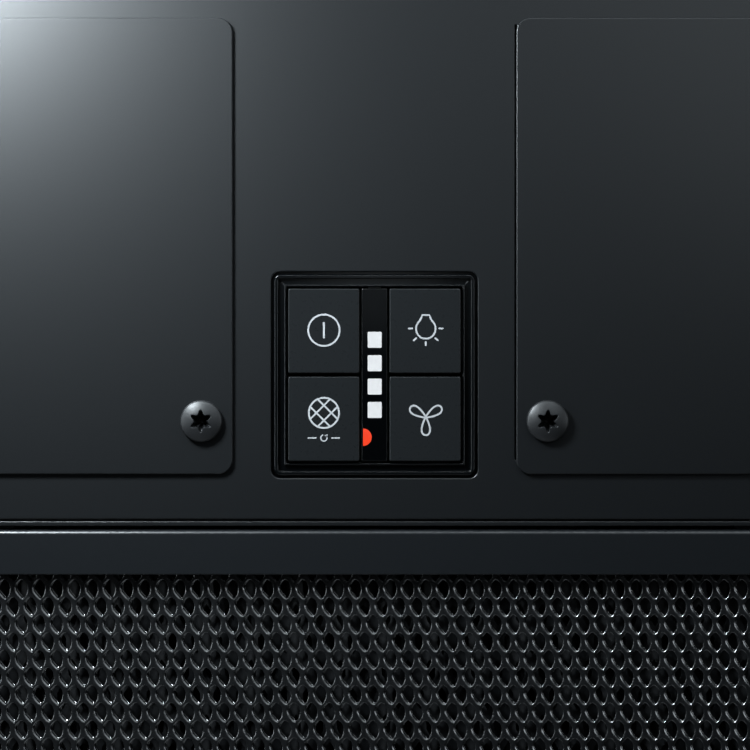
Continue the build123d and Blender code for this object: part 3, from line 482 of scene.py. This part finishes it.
def button_screw(p, x, y, z):
    R, H, RHO, n = 4.8, 2.6, 9.6, 120
    ang = [2 * pi * k / n for k in range(n)]

    def dome(r):
        if r <= 4.4:
            return z - H + RHO - math.sqrt(RHO * RHO - r * r)
        k = min((r - 4.4) / 0.4, 1.0)
        return z - H + RHO - math.sqrt(RHO * RHO - 4.4 * 4.4) + 0.2 * k + 0.36 * (1 - math.sqrt(max(0.0, 1 - k * k)))

    rows = []
    # recess: floor, wall, rounded mouth
    cen = p.v(x, y, z - H + 3.8)
    for f, dz in ((0.3, 3.5), (0.72, 2.2), (0.88, 1.9), (0.90, 1.6), (0.905, 0.28), (0.95, 0.12), (1.0, 0.02)):
        rows.append([p.v(x + lobe_r(t) * f * math.cos(t), y + lobe_r(t) * f * math.sin(t), dome(lobe_r(t)) + dz) for t in ang])
    for q in (0.06, 0.2, 0.4, 0.62):
        row = []
        for t in ang:
            r = lobe_r(t) * (1 - q) + 3.6 * q + 0.04
            row.append(p.v(x + r * math.cos(t), y + r * math.sin(t), dome(r)))
        rows.append(row)
    for r in (3.6, 3.9, 4.2, 4.4, 4.5, 4.6, 4.68, 4.74, 4.78, 4.797):
        rows.append([p.v(x + r * math.cos(t), y + r * math.sin(t), dome(r)) for t in ang])
    rows.append([p.v(x + 4.8 * math.cos(t), y + 4.8 * math.sin(t), dome(4.8)) for t in ang])
    rows.append([p.v(x + 4.8 * math.cos(t), y + 4.8 * math.sin(t), z - 0.12) for t in ang])
    rows.append([p.v(x + 4.68 * math.cos(t), y + 4.68 * math.sin(t), z) for t in ang])
    for a, b in zip(rows, rows[1:]):
        p.bridge(a, b)
    for k in range(n):
        p.face((cen, rows[0][(k + 1) % n], rows[0][k]))
    # shank with rolled thread ridges
    shank = [[p.v(x + 2.45 * math.cos(t), y + 2.45 * math.sin(t), z) for t in ang]]
    w = z + 0.9
    while w < z + 8.3:
        for r, dz in ((2.45, 0.0), (2.1, 0.3), (2.1, 0.45), (2.45, 0.72)):
            shank.append([p.v(x + r * math.cos(t), y + r * math.sin(t), w + dz) for t in ang])
        w += 0.8
    shank.append([p.v(x + 2.0 * math.cos(t), y + 2.0 * math.sin(t), z + 8.9) for t in ang])
    p.bridge(rows[-1], shank[0])
    for a, b in zip(shank, shank[1:]):
        p.bridge(a, b)
    p.cap([shank[-1]])


p = Piece()
for s in (-1, 1):
    for x in (39.7, 225.5):
        button_screw(p, s * x, YM + 10.6, ZU - 1.0)
p.make("cover_fixing_screws", MATS["black_screw"], "casing", ["cover_screws"], angle=42)

# ------------------------------------------------------------------ key module
BEZ, ZB0 = 23.2, ZU


def arc(cx, cz, r, a0, a1, n):
    return [(cx + r * math.cos(math.radians(a0 + (a1 - a0) * k / n)), cz + r * math.sin(math.radians(a0 + (a1 - a0) * k / n))) for k in range(n + 1)]


# section of the bezel: (grown from the outer outline, w), front towards -Z
zf = ZU - 0.45
RB_, RR_ = 0.15, 0.15
sec = []
sec += [(0.0, ZU + 1.2), (0.0, ZU + 0.10), (-0.05, ZU + 0.04), (-0.24, zf + RB_ + 0.06)]
sec += arc(-0.25 - RB_, zf + RB_, RB_, 10, -90, 5)
sec += [(-0.60, zf + 0.012)]
sec += arc(-0.98 + RB_, zf + RB_, RB_, -90, -180, 5)
sec += [(-1.0, ZU + 0.30), (-1.08, ZU + 0.42), (-2.38, ZU + 0.42), (-2.46, ZU + 0.30)]
sec += arc(-2.50 - RR_, zf + RR_, RR_, 0, -90, 5)
sec += arc(-2.9 + RR_, zf + RR_, RR_, -90, -180, 5)
sec += [(-2.9, ZU + 1.2), (-2.6, ZU + 1.3), (-1.6, ZU + 1.4), (-1.6, ZU + 2.9), (-1.5, ZU + 3.0), (3.2, ZU + 3.0), (3.3, ZU + 2.9), (3.3, ZU + 1.3), (3.2, ZU + 1.2)]
p = Piece()
p.ring(rr(-BEZ, BEZ, YM - BEZ, YM + BEZ, 1.6, 10), sec)
p.make("key_module_bezel", MATS["bezel_plastic"], "casing", ["key_bezel"], angle=50)

KEY = {"power": (-1, -1), "light": (1, -1), "reset": (-1, 1), "fan": (1, 1)}
for name, (sx, sy) in KEY.items():
    p = Piece()
    x0, x1 = sorted((sx * 3.45, sx * 19.8))
    y0, y1 = sorted((YM + sy * 0.4, YM + sy * 19.8))
    p.plate(rr(x0, x1, y0, y1, 0.4, 6), [], ZU - 1.1, ZU + 3.4, 0.3, 0.1, 5)
    xo, yo = sx * 21.2, YM + sy * 21.2
    a, b = sorted((sx * 19.8, xo))
    c, d = sorted((YM + sy * 3, YM + sy * 17))
    p.box(a, b, c, d, ZU + 1.45, ZU + 2.5, 0.1)
    a, b = sorted((sx * 6, sx * 17))
    c, d = sorted((YM + sy * 19.8, yo))
    p.box(a, b, c, d, ZU + 1.45, ZU + 2.5, 0.1)
    p.revolve([(1.6, ZU + 3.4), (1.6, ZU + 8.55), (1.4, ZU + 8.75)], sx * 11.625, YM + sy * 10.1, 24)
    p.make(f"{name}_key_cap", MATS["key_plastic"], f"{name}_key", [f"key_{name}"])

# indicator window with its light pipes
p = Piece()
seg_o = [rr(-1.56, 1.68, YM + (i - 1.5) * 5.37 - 1.85, YM + (i - 1.5) * 5.37 + 1.85, 0.25, 4) for i in range(4)]
half = [(-2.62, YM + 14.3 - 2.0)] + [(-2.62 + 2.0 * math.sin(math.radians(a)), YM + 14.3 - 2.0 * math.cos(math.radians(a))) for a in range(6, 175, 8)] + [(-2.62, YM + 14.3 + 2.0)]
p.plate(rr(-2.91, 2.91, YM - 19.8, YM + 19.8, 0.25, 4), seg_o, ZU - 0.8, ZU + 1.3, 0.14, 0.0, 3, hb0=0.0)
p.plate(rr(-2.9, 2.9, YM - 19.0, YM + 19.0, 0.2, 2), seg_o, ZU + 1.3, ZU + 6.0, 0.0, 0.1, 2, hb1=0.0)
p.box(-1.6, 1.6, YM - 21.4, YM - 19.9, ZU + T, ZU + 3.0, 0.1)
p.box(-1.6, 1.6, YM + 19.9, YM + 21.4, ZU + T, ZU + 3.0, 0.1)
p.make("indicator_window", MATS["window_gloss"], "casing", ["indicator_strip"])
p = Piece()
for i in range(4):
    y = YM + (i - 1.5) * 5.37
    p.plate(rr(-1.55, 1.67, y - 1.84, y + 1.84, 0.24, 4), [], ZU - 0.82, ZU + 9.6, 0.05, 0.05, 2)
p.make("speed_light_pipes", MATS["white_light"], "casing", ["speed_segments"])
p = Piece()
p.plate(poly(half), [], ZU - 0.82, ZU + 9.58, 0.04, 0.04, 2)
p.make("filter_light_pipe", MATS["orange_light"], "casing", ["filter_indicator"])

# ------------------------------------------------------------------ lamps
p = Piece()
for s in (-1, 1):
    cx = s * 318.0
    p.plate(rr(cx - 75, cx + 75, YM - 14, YM + 14, 4, 8), [], ZU + 0.3, ZU + T, 0.5, 0.0, 4)
    p.plate(rr(cx - 78, cx + 78, YM - 17, YM + 17, 6, 8), [], ZU + T, ZU + 2.6, 0.0, 0.1, 2)
p.make("lamp_windows", MATS["lamp_diffuser"], "casing", ["lamp_lenses"])

# ------------------------------------------------------------------ grease filters
PX_, PY_ = 17.66 * K, 17.7 * K          # opening pitch and row distance, mm


def smooth_loop(pts, n):
    """n points per span of a closed curve through pts."""
    out, m = [], len(pts)
    for i in range(m):
        p0, p1, p2, p3 = pts[i - 1], pts[i], pts[(i + 1) % m], pts[(i + 2) % m]
        for k in range(n):
            t = k / n
            out.append(tuple(0.5 * (2 * b + (c - a) * t + (2 * a - 5 * b + 4 * c - d) * t * t + (3 * b - a - 3 * c + d) * t ** 3) for a, b, c, d in zip(p0, p1, p2, p3)))
    return out


LENS = [(0.0, -9.6), (3.3, -7.5), (5.5, -4.1), (6.2, 0.0), (5.7, 4.1), (4.1, 7.4), (1.6, 9.6), (-1.7, 6.7), (-4.6, 3.2), (-6.2, -0.7), (-5.3, -4.4), (-2.9, -7.5)]


def expanded(name, x0, x1, y0, y1, z, cell_x, cell_y, hw, hh, th, fine=False, org=(0.0, 0.0), surf=None, pick=None):
    """A sheet of flattened expanded metal with staggered lens-shaped openings. cell_x is the pitch along X, cell_y the
    row distance, hw and hh half the opening's size, th the metal's thickness. An opening's left and lower left rim is
    sheared, with a cut face and, on a fine sheet, a lower edge. pick(x, y) chooses openings, surf(x, y) adds the
    sheet's own height."""
    bm = bmesh.new()
    cache = {}

    def vert(x, y, zz, key):
        k = (round(x, 3), round(y, 3), key)
        if k not in cache:
            h = surf(x, y) if surf else 0.0
            cache[k] = bm.verts.new((x * M, y * M, (zz + h) * M))
        return cache[k]

    hx = cell_x / 2
    # rows are cell_y apart, so top and bottom points reach 2/3 of it and the sides 1/3
    outer = [(0.0, -cell_y * 2 / 3), (hx, -cell_y / 3), (hx, cell_y / 3), (0.0, cell_y * 2 / 3), (-hx, cell_y / 3), (-hx, -cell_y / 3)]
    lens = [(a / 6.2 * hw, b / 9.6 * hh) for a, b in LENS]
    inner6 = [lens[0], lens[2], lens[4], lens[6], lens[8], lens[10]]
    inner_f = smooth_loop(lens, 2)
    nf = len(inner_f)
    nrm, wgt = [], []
    for i in range(nf):
        d = Vector(inner_f[(i + 1) % nf]) - Vector(inner_f[i - 1])
        q = Vector((d.y, -d.x)).normalized()            # away from the opening
        nrm.append(q)
        wgt.append(max(0.0, min(1.0, 1.3 * (-0.90 * q.x + 0.40 * q.y))))
    nrm6, wgt6 = nrm[::nf // 6], wgt[::nf // 6]
    ny = int((y1 - y0) / cell_y) + 5
    nx = int((x1 - x0) / cell_x) + 5
    r0 = math.floor((y0 - org[1]) / cell_y) - 1
    c0 = math.floor((x0 - org[0]) / cell_x) - 1
    for j in range(r0, r0 + ny):
        cy = org[1] + j * cell_y
        if cy - hh < y0 - 0.01 or cy + hh > y1 + 0.01:
            continue
        for i in range(c0, c0 + nx):
            cx = org[0] + i * cell_x + (0.5 * cell_x if j % 2 else 0.0)
            if cx - hw < x0 - 0.01 or cx + hw > x1 + 0.01:
                continue
            if pick and not pick(cx, cy):
                continue
            fr_o = [vert(cx + a, cy + b, z, "f") for a, b in outer]
            bk_o = [vert(cx + a, cy + b, z + th, "b") for a, b in outer]
            if fine:
                n = nf
                rim = []
                # grown by g0 + g1 * weight, at depth d0 + d1 * weight
                for g0, g1, d0, d1 in ((0.07, 0.30, 0.0, 0.0), (0.045, 0.26, 0.008, 0.012), (0.0, 0.0, 0.04, 0.21), (-0.01, -0.20, 0.24, 0.62), (-0.03, -0.235, 0.25, 0.64), (-0.02, -0.20, th, 0.66)):
                    rim.append([bm.verts.new(((cx + a + q.x * (g0 + g1 * w_)) * M, (cy + b + q.y * (g0 + g1 * w_)) * M, (z + d0 + d1 * w_) * M)) for (a, b), q, w_ in zip(inner_f, nrm, wgt)])
            else:
                n = 6
                rim = []
                if surf:
                    for dz in (0.0, 1.0):
                        rim.append([bm.verts.new(((cx + a) * M, (cy + b) * M, (z + dz * th + surf(cx + a, cy + b)) * M)) for a, b in inner6])
                else:
                    for g0, g1, d0, d1 in ((0.06, 0.30, 0.0, 0.0), (0.0, 0.0, 0.04, 0.21), (0.0, -0.05, th, 0.15)):
                        rim.append([bm.verts.new(((cx + a + q.x * (g0 + g1 * w_)) * M, (cy + b + q.y * (g0 + g1 * w_)) * M, (z + d0 + d1 * w_) * M)) for (a, b), q, w_ in zip(inner6, nrm6, wgt6)])
            st = n // 6
            for k in range(6):
                k2 = (k + 1) % 6
                seq_f = [rim[0][(k * st + m_) % n] for m_ in range(st + 1)]
                seq_b = [rim[-1][(k * st + m_) % n] for m_ in range(st + 1)]
                bm.faces.new([fr_o[k2], fr_o[k]] + seq_f)
                bm.faces.new([bk_o[k], bk_o[k2]] + seq_b[::-1])
            for a_, b_ in zip(rim, rim[1:]):
                for k in range(n):
                    k2 = (k + 1) % n
                    bm.faces.new((a_[k], b_[k], b_[k2], a_[k2]))
    # close the outer rim
    edges = [e for e in bm.edges if len(e.link_faces) == 1]
    back = {}
    for (x, y, key), v in cache.items():
        back.setdefault((x, y), {})[key] = v
    vkey = {v: k for k, v in cache.items()}
    for e in edges:
        a, b = e.verts
        if a in vkey and b in vkey and vkey[a][2] == "f" and vkey[b][2] == "f":
            a2, b2 = back[vkey[a][:2]]["b"], back[vkey[b][:2]]["b"]
            bm.faces.new((a, b, b2, a2))
    bmesh.ops.recalc_face_normals(bm, faces=bm.faces)
    me = bpy.data.meshes.new(name)
    bm.to_mesh(me)
    bm.free()
    return me


hx0, hx1 = -FW / 2 + 1.4, FW / 2 - 1.4
hy0, hy1 = FY0 + 1.4, FY0 + FD - 1.4
HW, HH = 6.2 * K, 9.7 * K
ORG = (px(54.9) % PX_, py(590.2))
ZM = ZF + 3.5


Y_NEAR, Y_MID = FY0 + 52.0, FY0 + 150.0


def near_view(x, y):
    return abs(x) < 91 and y < Y_NEAR


def beside_cup(x, y, w, h):
    return abs(x) - w > LX + 2.0 or y + h < LY0 - 1.2


SHEET = (hx0, hx1, hy0, hy1, ZM, PX_, PY_, HW, HH, 0.5)
me_near = expanded("mesh_near", *SHEET, True, ORG, None, near_view)
me_rest = expanded("mesh_rest", *SHEET, False, ORG, None, lambda x, y: y < Y_MID and not near_view(x, y))
me_front = expanded("mesh_front", *SHEET, False, ORG, None, lambda x, y: y < Y_MID)
me_rear = expanded("mesh_rear", *SHEET, False, ORG, None, lambda x, y: y >= Y_MID and beside_cup(x, y, PX_ / 2, PY_ * 2 / 3))
me_upper = expanded("mesh_upper", hx0, hx1, hy0, hy1, ZF + FH - FS - 1.0, 6.4, 6.4, 1.7, 3.3, 0.45, False, ORG, None, lambda x, y: beside_cup(x, y, 3.2, 4.3))


def fold(x, y):
    u = (x / 10.4) % 1.0
    return 0.8 * (abs(u - 0.5) * 4 - 1)


me_pad = expanded("mesh_pad", hx0 + 2, hx1 - 2, hy0 + 2, hy1 - 2, ZF + 5.8, 5.2, 6.4, 1.2, 2.7, 0.3, False, (0.0, ORG[1]), fold, lambda x, y: beside_cup(x, y, 2.6, 4.3))
for q_ in (me_near, me_rest, me_front, me_rear, me_upper, me_pad):
    print("mesh triangles", q_.name, sum(len(f_.vertices) - 2 for f_ in q_.polygons))


def filter_frame(p, cx):
    x0, x1 = cx - FW / 2, cx + FW / 2
    y0, y1 = FY0, FY0 + FD
    z0, z1 = ZF, ZF + FH
    EB = 1.05
    # one folded band, section (grown from the outline, w): outside wall, front face, hem, inside, back flange
    sec = []
    sec += arc(-EB, z0 + EB, EB, 0, -90, 6)
    sec += arc(-F_LIP + 0.3, z0 + 0.3, 0.3, -90, -180, 4)
    sec += arc(-F_LIP + 0.3, z0 + F_HEM - 0.3, 0.3, 180, 90, 3)
    sec += [(-FS - 0.4, z0 + F_HEM), (-FS, z0 + F_HEM + 0.4), (-FS, z1 - FS - 0.3), (-FS - 0.3, z1 - FS), (-F_LIP + 0.2, z1 - FS), (-F_LIP, z1 - FS + 0.2), (-F_LIP, z1 - 0.2), (-F_LIP + 0.2, z1)]
    sec += arc(-EB, z1 - EB, EB, 90, 0, 4)
    p.ring(rr(x0, x1, y0, y1, 1.2, 8), sec)
    for dx in (-90.0, 90.0):
        p.box(cx + dx - 7, cx + dx + 7, y0 - 4.4, y0 - 0.02, z0 + 3.3, z0 + 4.3, 0.15, 1.0, 3)
    # latch cup: tray with walls and a roof, open towards the viewer
    a, b, c, d = cx - LX - 4, cx + LX + 4, LY0 - 3, LY1
    p.plate(rr(a, b, c, d, 1.6, 6), [rr(cx - LX, cx + LX, LY0, LY1 - 0.01, 1.2, 6)], z0 + 0.7, z0 + 7.6, 0.35, 0.0, 4, hb0=0.35)
    p.plate(rr(a, b, c, d, 1.6, 6), [], z0 + 7.6, z1 - FS, 0.0, 0.2, 2)
    for s in (-1, 1):
        u, v = sorted((cx + s * (LX - 2), cx + s * (LX - 0.02)))
        p.box(u, v, LY0 + 0.4, LY1 - 0.4, z0 + 4.2, z0 + 5.1, 0.12)


def latch(p, cx):
    z0 = ZF
    p.box(cx - LX + 0.6, cx + LX - 0.6, LY0 + 8.0, LY0 + 17.0, z0 + 5.2, z0 + 7.2, 0.25, 1.0, 4)
    # finger lip: a curved blade
    p.t = YZ
    y = LY0 + 14.2
    p.plate(poly([(y, z0 + 5.3), (y - 0.02, z0 + 3.2), (y - 0.05, z0 + 1.6), (y + 0.2, z0 + 0.95), (y + 1.3, z0 + 0.95), (y + 1.95, z0 + 1.5), (y + 2.0, z0 + 5.3)][::-1]), [], cx - 18, cx + 18, 0.3, 0.3, 3)
    p.t = XY
    for k in range(-4, 5):
        p.box(cx + k * 3.6 - 0.5, cx + k * 3.6 + 0.5, LY0 + 13.85, LY0 + 14.25, z0 + 1.6, z0 + 5.0, 0.12)
    p.t = YZ
    yb = FY0 + FD + 4.6
    p.plate(poly([(LY0 + 15.0, z0 + 3.2), (yb, z0 + 3.2), (yb, z0 + 3.8), (yb - 2.0, z0 + 5.8), (LY0 + 15.0, z0 + 5.8)]), [], cx - 8, cx + 8, 0.25, 0.25, 3)
    p.t = XY


for side, cx in FXC.items():
    p = Piece()
    filter_frame(p, cx)
    p.make(f"filter_{side}_band", MATS["filter_band"], f"filter_{side}", [f"filter_{side}_frame"])
    for me, end in ((me_near, "near"), (me_rest, "front"), (me_rear, "rear")) if side == "centre" else ((me_front, "front"), (me_rear, "rear")):
        finish_mesh(me, f"filter_{side}_expanded_mesh_{end}", MATS["filter_mesh"], f"filter_{side}", [f"filter_{side}_mesh"], 24, False, (cx, 0, 0))
    # the inner layers get the darker material, whose colour is painted shade
    finish_mesh(me_upper, f"filter_{side}_upper_mesh", MATS["filter_layers"], f"filter_{side}", [f"filter_{side}_mesh"], 50, False, (cx, 0, 0))
    finish_mesh(me_pad, f"filter_{side}_folded_mesh", MATS["filter_layers"], f"filter_{side}", [f"filter_{side}_pad"], 50, False, (cx, 0, 0))
    p = Piece()
    latch(p, cx)
    p.make(f"filter_{side}_latch_slide", MATS["black_plastic"], f"latch_{side}", [f"filter_{side}_latch"])


# ------------------------------------------------------------------ printed symbols on the keys
def ribbon(p, pts, w, z0, z1, closed=False):
    """A flat stroke of width w along points, with round ends."""
    n = len(pts)
    V2 = [Vector(q) for q in pts]
    L, R = [], []
    for i in range(n):
        if closed:
            a, b = V2[i - 1], V2[(i + 1) % n]
        else:
            a, b = V2[max(i - 1, 0)], V2[min(i + 1, n - 1)]
        d = (b - a).normalized()
        nn = Vector((-d.y, d.x)) * (w / 2)
        L.append(V2[i] + nn)
        R.append(V2[i] - nn)
    if closed:
        rows = []
        for z in (z0, z1):
            rows.append(([p.v(q.x, q.y, z) for q in L], [p.v(q.x, q.y, z) for q in R]))
        (l0, r0), (l1, r1) = rows
        p.bridge(l0, r0)
        p.bridge(l1, r1)
        p.bridge(l0, l1)
        p.bridge(r0, r1)
    else:
        d0, d1 = (V2[0] - V2[1]).normalized(), (V2[-1] - V2[-2]).normalized()
        out = list(L)
        a1 = math.atan2(d1.y, d1.x)
        out += [V2[-1] + Vector((math.cos(a1 + t), math.sin(a1 + t))) * (w / 2) for t in (1.05, 0.52, 0, -0.52, -1.05)]
        out += R[::-1]
        a0 = math.atan2(d0.y, d0.x)
        out += [V2[0] + Vector((math.cos(a0 + t), math.sin(a0 + t))) * (w / 2) for t in (1.05, 0.52, 0, -0.52, -1.05)]
        p.loft([[(q.x, q.y, z0) for q in out], [(q.x, q.y, z1) for q in out]])


def pxy(x, y):
    return (px(x), py(y))


def circle_px(cx, cy, r, n=64, a0=0, a1=360):
    full = abs(a1 - a0) >= 360
    m = n if full else n + 1
    return [pxy(cx + r * math.cos(math.radians(a0 + (a1 - a0) * k / n)), cy + r * math.sin(math.radians(a0 + (a1 - a0) * k / n))) for k in range(m)]


ZP0, ZP1 = ZU - 1.118, ZU - 1.06
SW = 1.75 * K
# power
p = Piece()
ribbon(p, circle_px(324.0, 330.3, 16.5 - 0.85), SW, ZP0, ZP1, True)
ribbon(p, [pxy(324.0, 323.0), pxy(324.0, 337.6)], 1.9 * K, ZP0, ZP1)
p.make("power_symbol", MATS["print_white"], "power_key", (), weighted=False)
# lamp with rays
p = Piece()
bulb = []
hx_, top, bot = 10.6 - 0.85, 314.3 + 0.85, 339.5 - 0.85
bulb = [(-3.65, top), (3.65, top), (4.3, 317.5), (6.0, 320.6), (8.3, 323.6), (9.5, 326.2), (9.75, 329.2), (9.2, 332.2), (7.6, 335.2), (5.0, 337.5), (2.4, 338.5), (0, bot), (-2.4, 338.5), (-5.0, 337.5), (-7.6, 335.2), (-9.2, 332.2), (-9.75, 329.2), (-9.5, 326.2), (-8.3, 323.6), (-6.0, 320.6), (-4.3, 317.5)]
ribbon(p, [pxy(425.7 + a, b) for a, b in bulb], SW, ZP0, ZP1, True)
for a, b in (((408.9, 328.6), (412.3, 328.6)), ((439.1, 328.6), (442.5, 328.6)), ((413.6, 340.4), (416.1, 338.3)), ((435.2, 338.2), (437.6, 340.4)), ((425.7, 342.0), (425.7, 345.4))):
    ribbon(p, [pxy(*a), pxy(*b)], SW, ZP0, ZP1)
p.make("lamp_symbol", MATS["print_white"], "light_key", (), weighted=False)
# grease filter: circle with crossed lines
p = Piece()
ribbon(p, circle_px(324.0, 412.8, 15.9 - 0.85), SW, ZP0, ZP1, True)
rc = 15.9 - 1.2
for s in (1, -1):
    for off in (-5.3, 5.3):
        h_ = math.sqrt(rc * rc - off * off)
        c_, s_ = math.cos(pi / 4), math.sin(pi / 4) * s
        nx_, ny_ = -s_, c_
        a = (324.0 + nx_ * off - c_ * h_, 412.8 + ny_ * off - s_ * h_)
        b = (324.0 + nx_ * off + c_ * h_, 412.8 + ny_ * off + s_ * h_)
        ribbon(p, [pxy(*a), pxy(*b)], SW * 0.95, ZP0 - 0.002 * s, ZP1)
# plain mark under it: a turning arrow between two dashes
ribbon(p, circle_px(324.0, 437.8, 3.1, 28, -40, 245), 1.2 * K, ZP0, ZP1)
tip = (324.0 + 3.1 * math.cos(math.radians(-40)), 437.8 + 3.1 * math.sin(math.radians(-40)))
p.loft([[(*pxy(tip[0] + a, tip[1] + b), z) for a, b in ((-1.9, -0.5), (1.3, -1.6), (0.9, 1.7))] for z in (ZP0, ZP1)])
for s in (-1, 1):
    ribbon(p, [pxy(324 + s * 8.0, 437.8), pxy(324 + s * 15.6, 437.8)], 1.3 * K, ZP0, ZP1)
p.make("filter_symbol", MATS["print_white"], "reset_key", (), weighted=False)
# fan: three loops
p = Piece()
for ang, ln, wd in ((90, 17.8, 11.0), (213, 18.4, 11.0), (-33, 18.4, 11.0)):
    pts = []
    n = 40
    for k in range(n):
        t = 2 * pi * k / n
        u = ln * 0.5 * (1 - math.cos(t))
        w = wd * 0.5 * math.sin(t) * (0.28 + 0.78 * (u / ln)) * 1.02
        ca, sa = math.cos(math.radians(ang)), math.sin(math.radians(ang))
        pts.append(pxy(425.7 + u * ca - w * sa, 417.3 + u * sa + w * ca))
    ribbon(p, pts, SW, ZP0 - 0.001 * ang / 100, ZP1, True)
p.make("fan_symbol", MATS["print_white"], "fan_key", (), weighted=False)

# ------------------------------------------------------------------ stage, light and camera
fl = bmesh.new()
bmesh.ops.create_grid(fl, x_segments=1, y_segments=1, size=14.0)
me = bpy.data.meshes.new("floor")
fl.to_mesh(me)
fl.free()
floor = bpy.data.objects.new("floor", me)
floor.location = (0, 0, -3.7)
sc.collection.objects.link(floor)
floor.data.materials.append(mat("floor_pale", (0.52, 0.52, 0.51), (0.55, 0.55, 0.54), (0.6, 0.7), scale=3))

floor.visible_glossy = False        # the floor doesn't light the underside; it only shows as the ground
floor.visible_diffuse = False
w = bpy.data.worlds.new("world")
sc.world = w
w.use_nodes = True
wt = w.node_tree
bg = wt.nodes["Background"]
bg.inputs[0].default_value = (0.95, 0.97, 1.0, 1)
wc = wt.nodes.new("ShaderNodeTexCoord")
wx = wt.nodes.new("ShaderNodeSeparateXYZ")
wm = wt.nodes.new("ShaderNodeMapRange")
wm.inputs["From Min"].default_value, wm.inputs["From Max"].default_value = -0.12, 0.12
wm.inputs["To Min"].default_value, wm.inputs["To Max"].default_value = 0.004, 0.55
wt.links.new(wc.outputs["Generated"], wx.inputs[0])
wt.links.new(wx.outputs["Z"], wm.inputs["Value"])
wt.links.new(wm.outputs[0], bg.inputs[1])


def area(name, loc, target, sx, sy, power, colour=(1, 1, 1), spread=180):
    d = bpy.data.lights.new(name, "AREA")
    d.shape = "RECTANGLE"
    d.size, d.size_y = sx, sy
    d.energy = power
    d.color = colour
    d.spread = math.radians(spread)
    o = bpy.data.objects.new(name, d)
    o.location = loc
    v = Vector(target) - Vector(loc)
    o.rotation_mode = "QUATERNION"
    o.rotation_quaternion = v.to_track_quat("-Z", "Y")
    o.visible_camera = False
    sc.collection.objects.link(o)
    return o


C = Vector((0.0001265, (YM + 0.023) * M, ZU * M))
# key light from the upper left of the picture, and a wide weak one from its upper right
area("key", C + Vector((-0.137, -0.139, -0.124)), C, 0.062, 0.062, 1.46, (0.90, 1.0, 1.063))
area("fill", C + Vector((0.151, -0.156, -0.239)), C, 0.20, 0.20, 0.150, (0.90, 1.0, 1.063))
# weak lights that only draw the edges: a strip in front, one on each side, one behind
area("edge_front", C + Vector((0.0, -0.42, -0.26)), C, 0.60, 0.04, 1.18, (0.90, 1.0, 1.063))
area("edge_right", C + Vector((0.90, -0.06, -0.40)), C, 0.40, 0.18, 1.00, (0.90, 1.0, 1.063))
area("edge_left", C + Vector((-0.90, -0.06, -0.40)), C, 0.40, 0.18, 2.20, (0.90, 1.0, 1.063))
area("edge_rear", C + Vector((0.0, 0.42, -0.20)), C, 0.50, 0.10, 0.15, (0.90, 1.0, 1.063))
# a small panel that only the glossy window shows, in its front half
area("window_panel", C + Vector((0.0, -0.050, -0.40)), C + Vector((0.0, -0.050, 0.0)), 0.05, 0.065, 0.0026, (0.90, 1.0, 1.063))
# room light for the views from the side and above
area("room", (-1.6, -2.2, 1.9), (0, 0, 0), 1.6, 1.6, 16)
area("room_back", (2.2, 1.8, 1.6), (0, 0, 0), 1.6, 1.6, 14)

cam_d = bpy.data.cameras.new("camera")
cam_d.sensor_width = 36.0
DIST = 0.50
cam_d.lens = 36.0 * DIST / (750 * K * M)
cam_d.clip_start, cam_d.clip_end = 0.01, 100
cam = bpy.data.objects.new("camera", cam_d)
cam.location = C + Vector((0, 0, -DIST))
cam.rotation_mode = "XYZ"
cam.rotation_euler = (pi, 0, 0)
sc.collection.objects.link(cam)
sc.camera = cam
sc.view_settings.view_transform = "Standard"
sc.view_settings.look = "None"

bpy.context.view_layer.update()
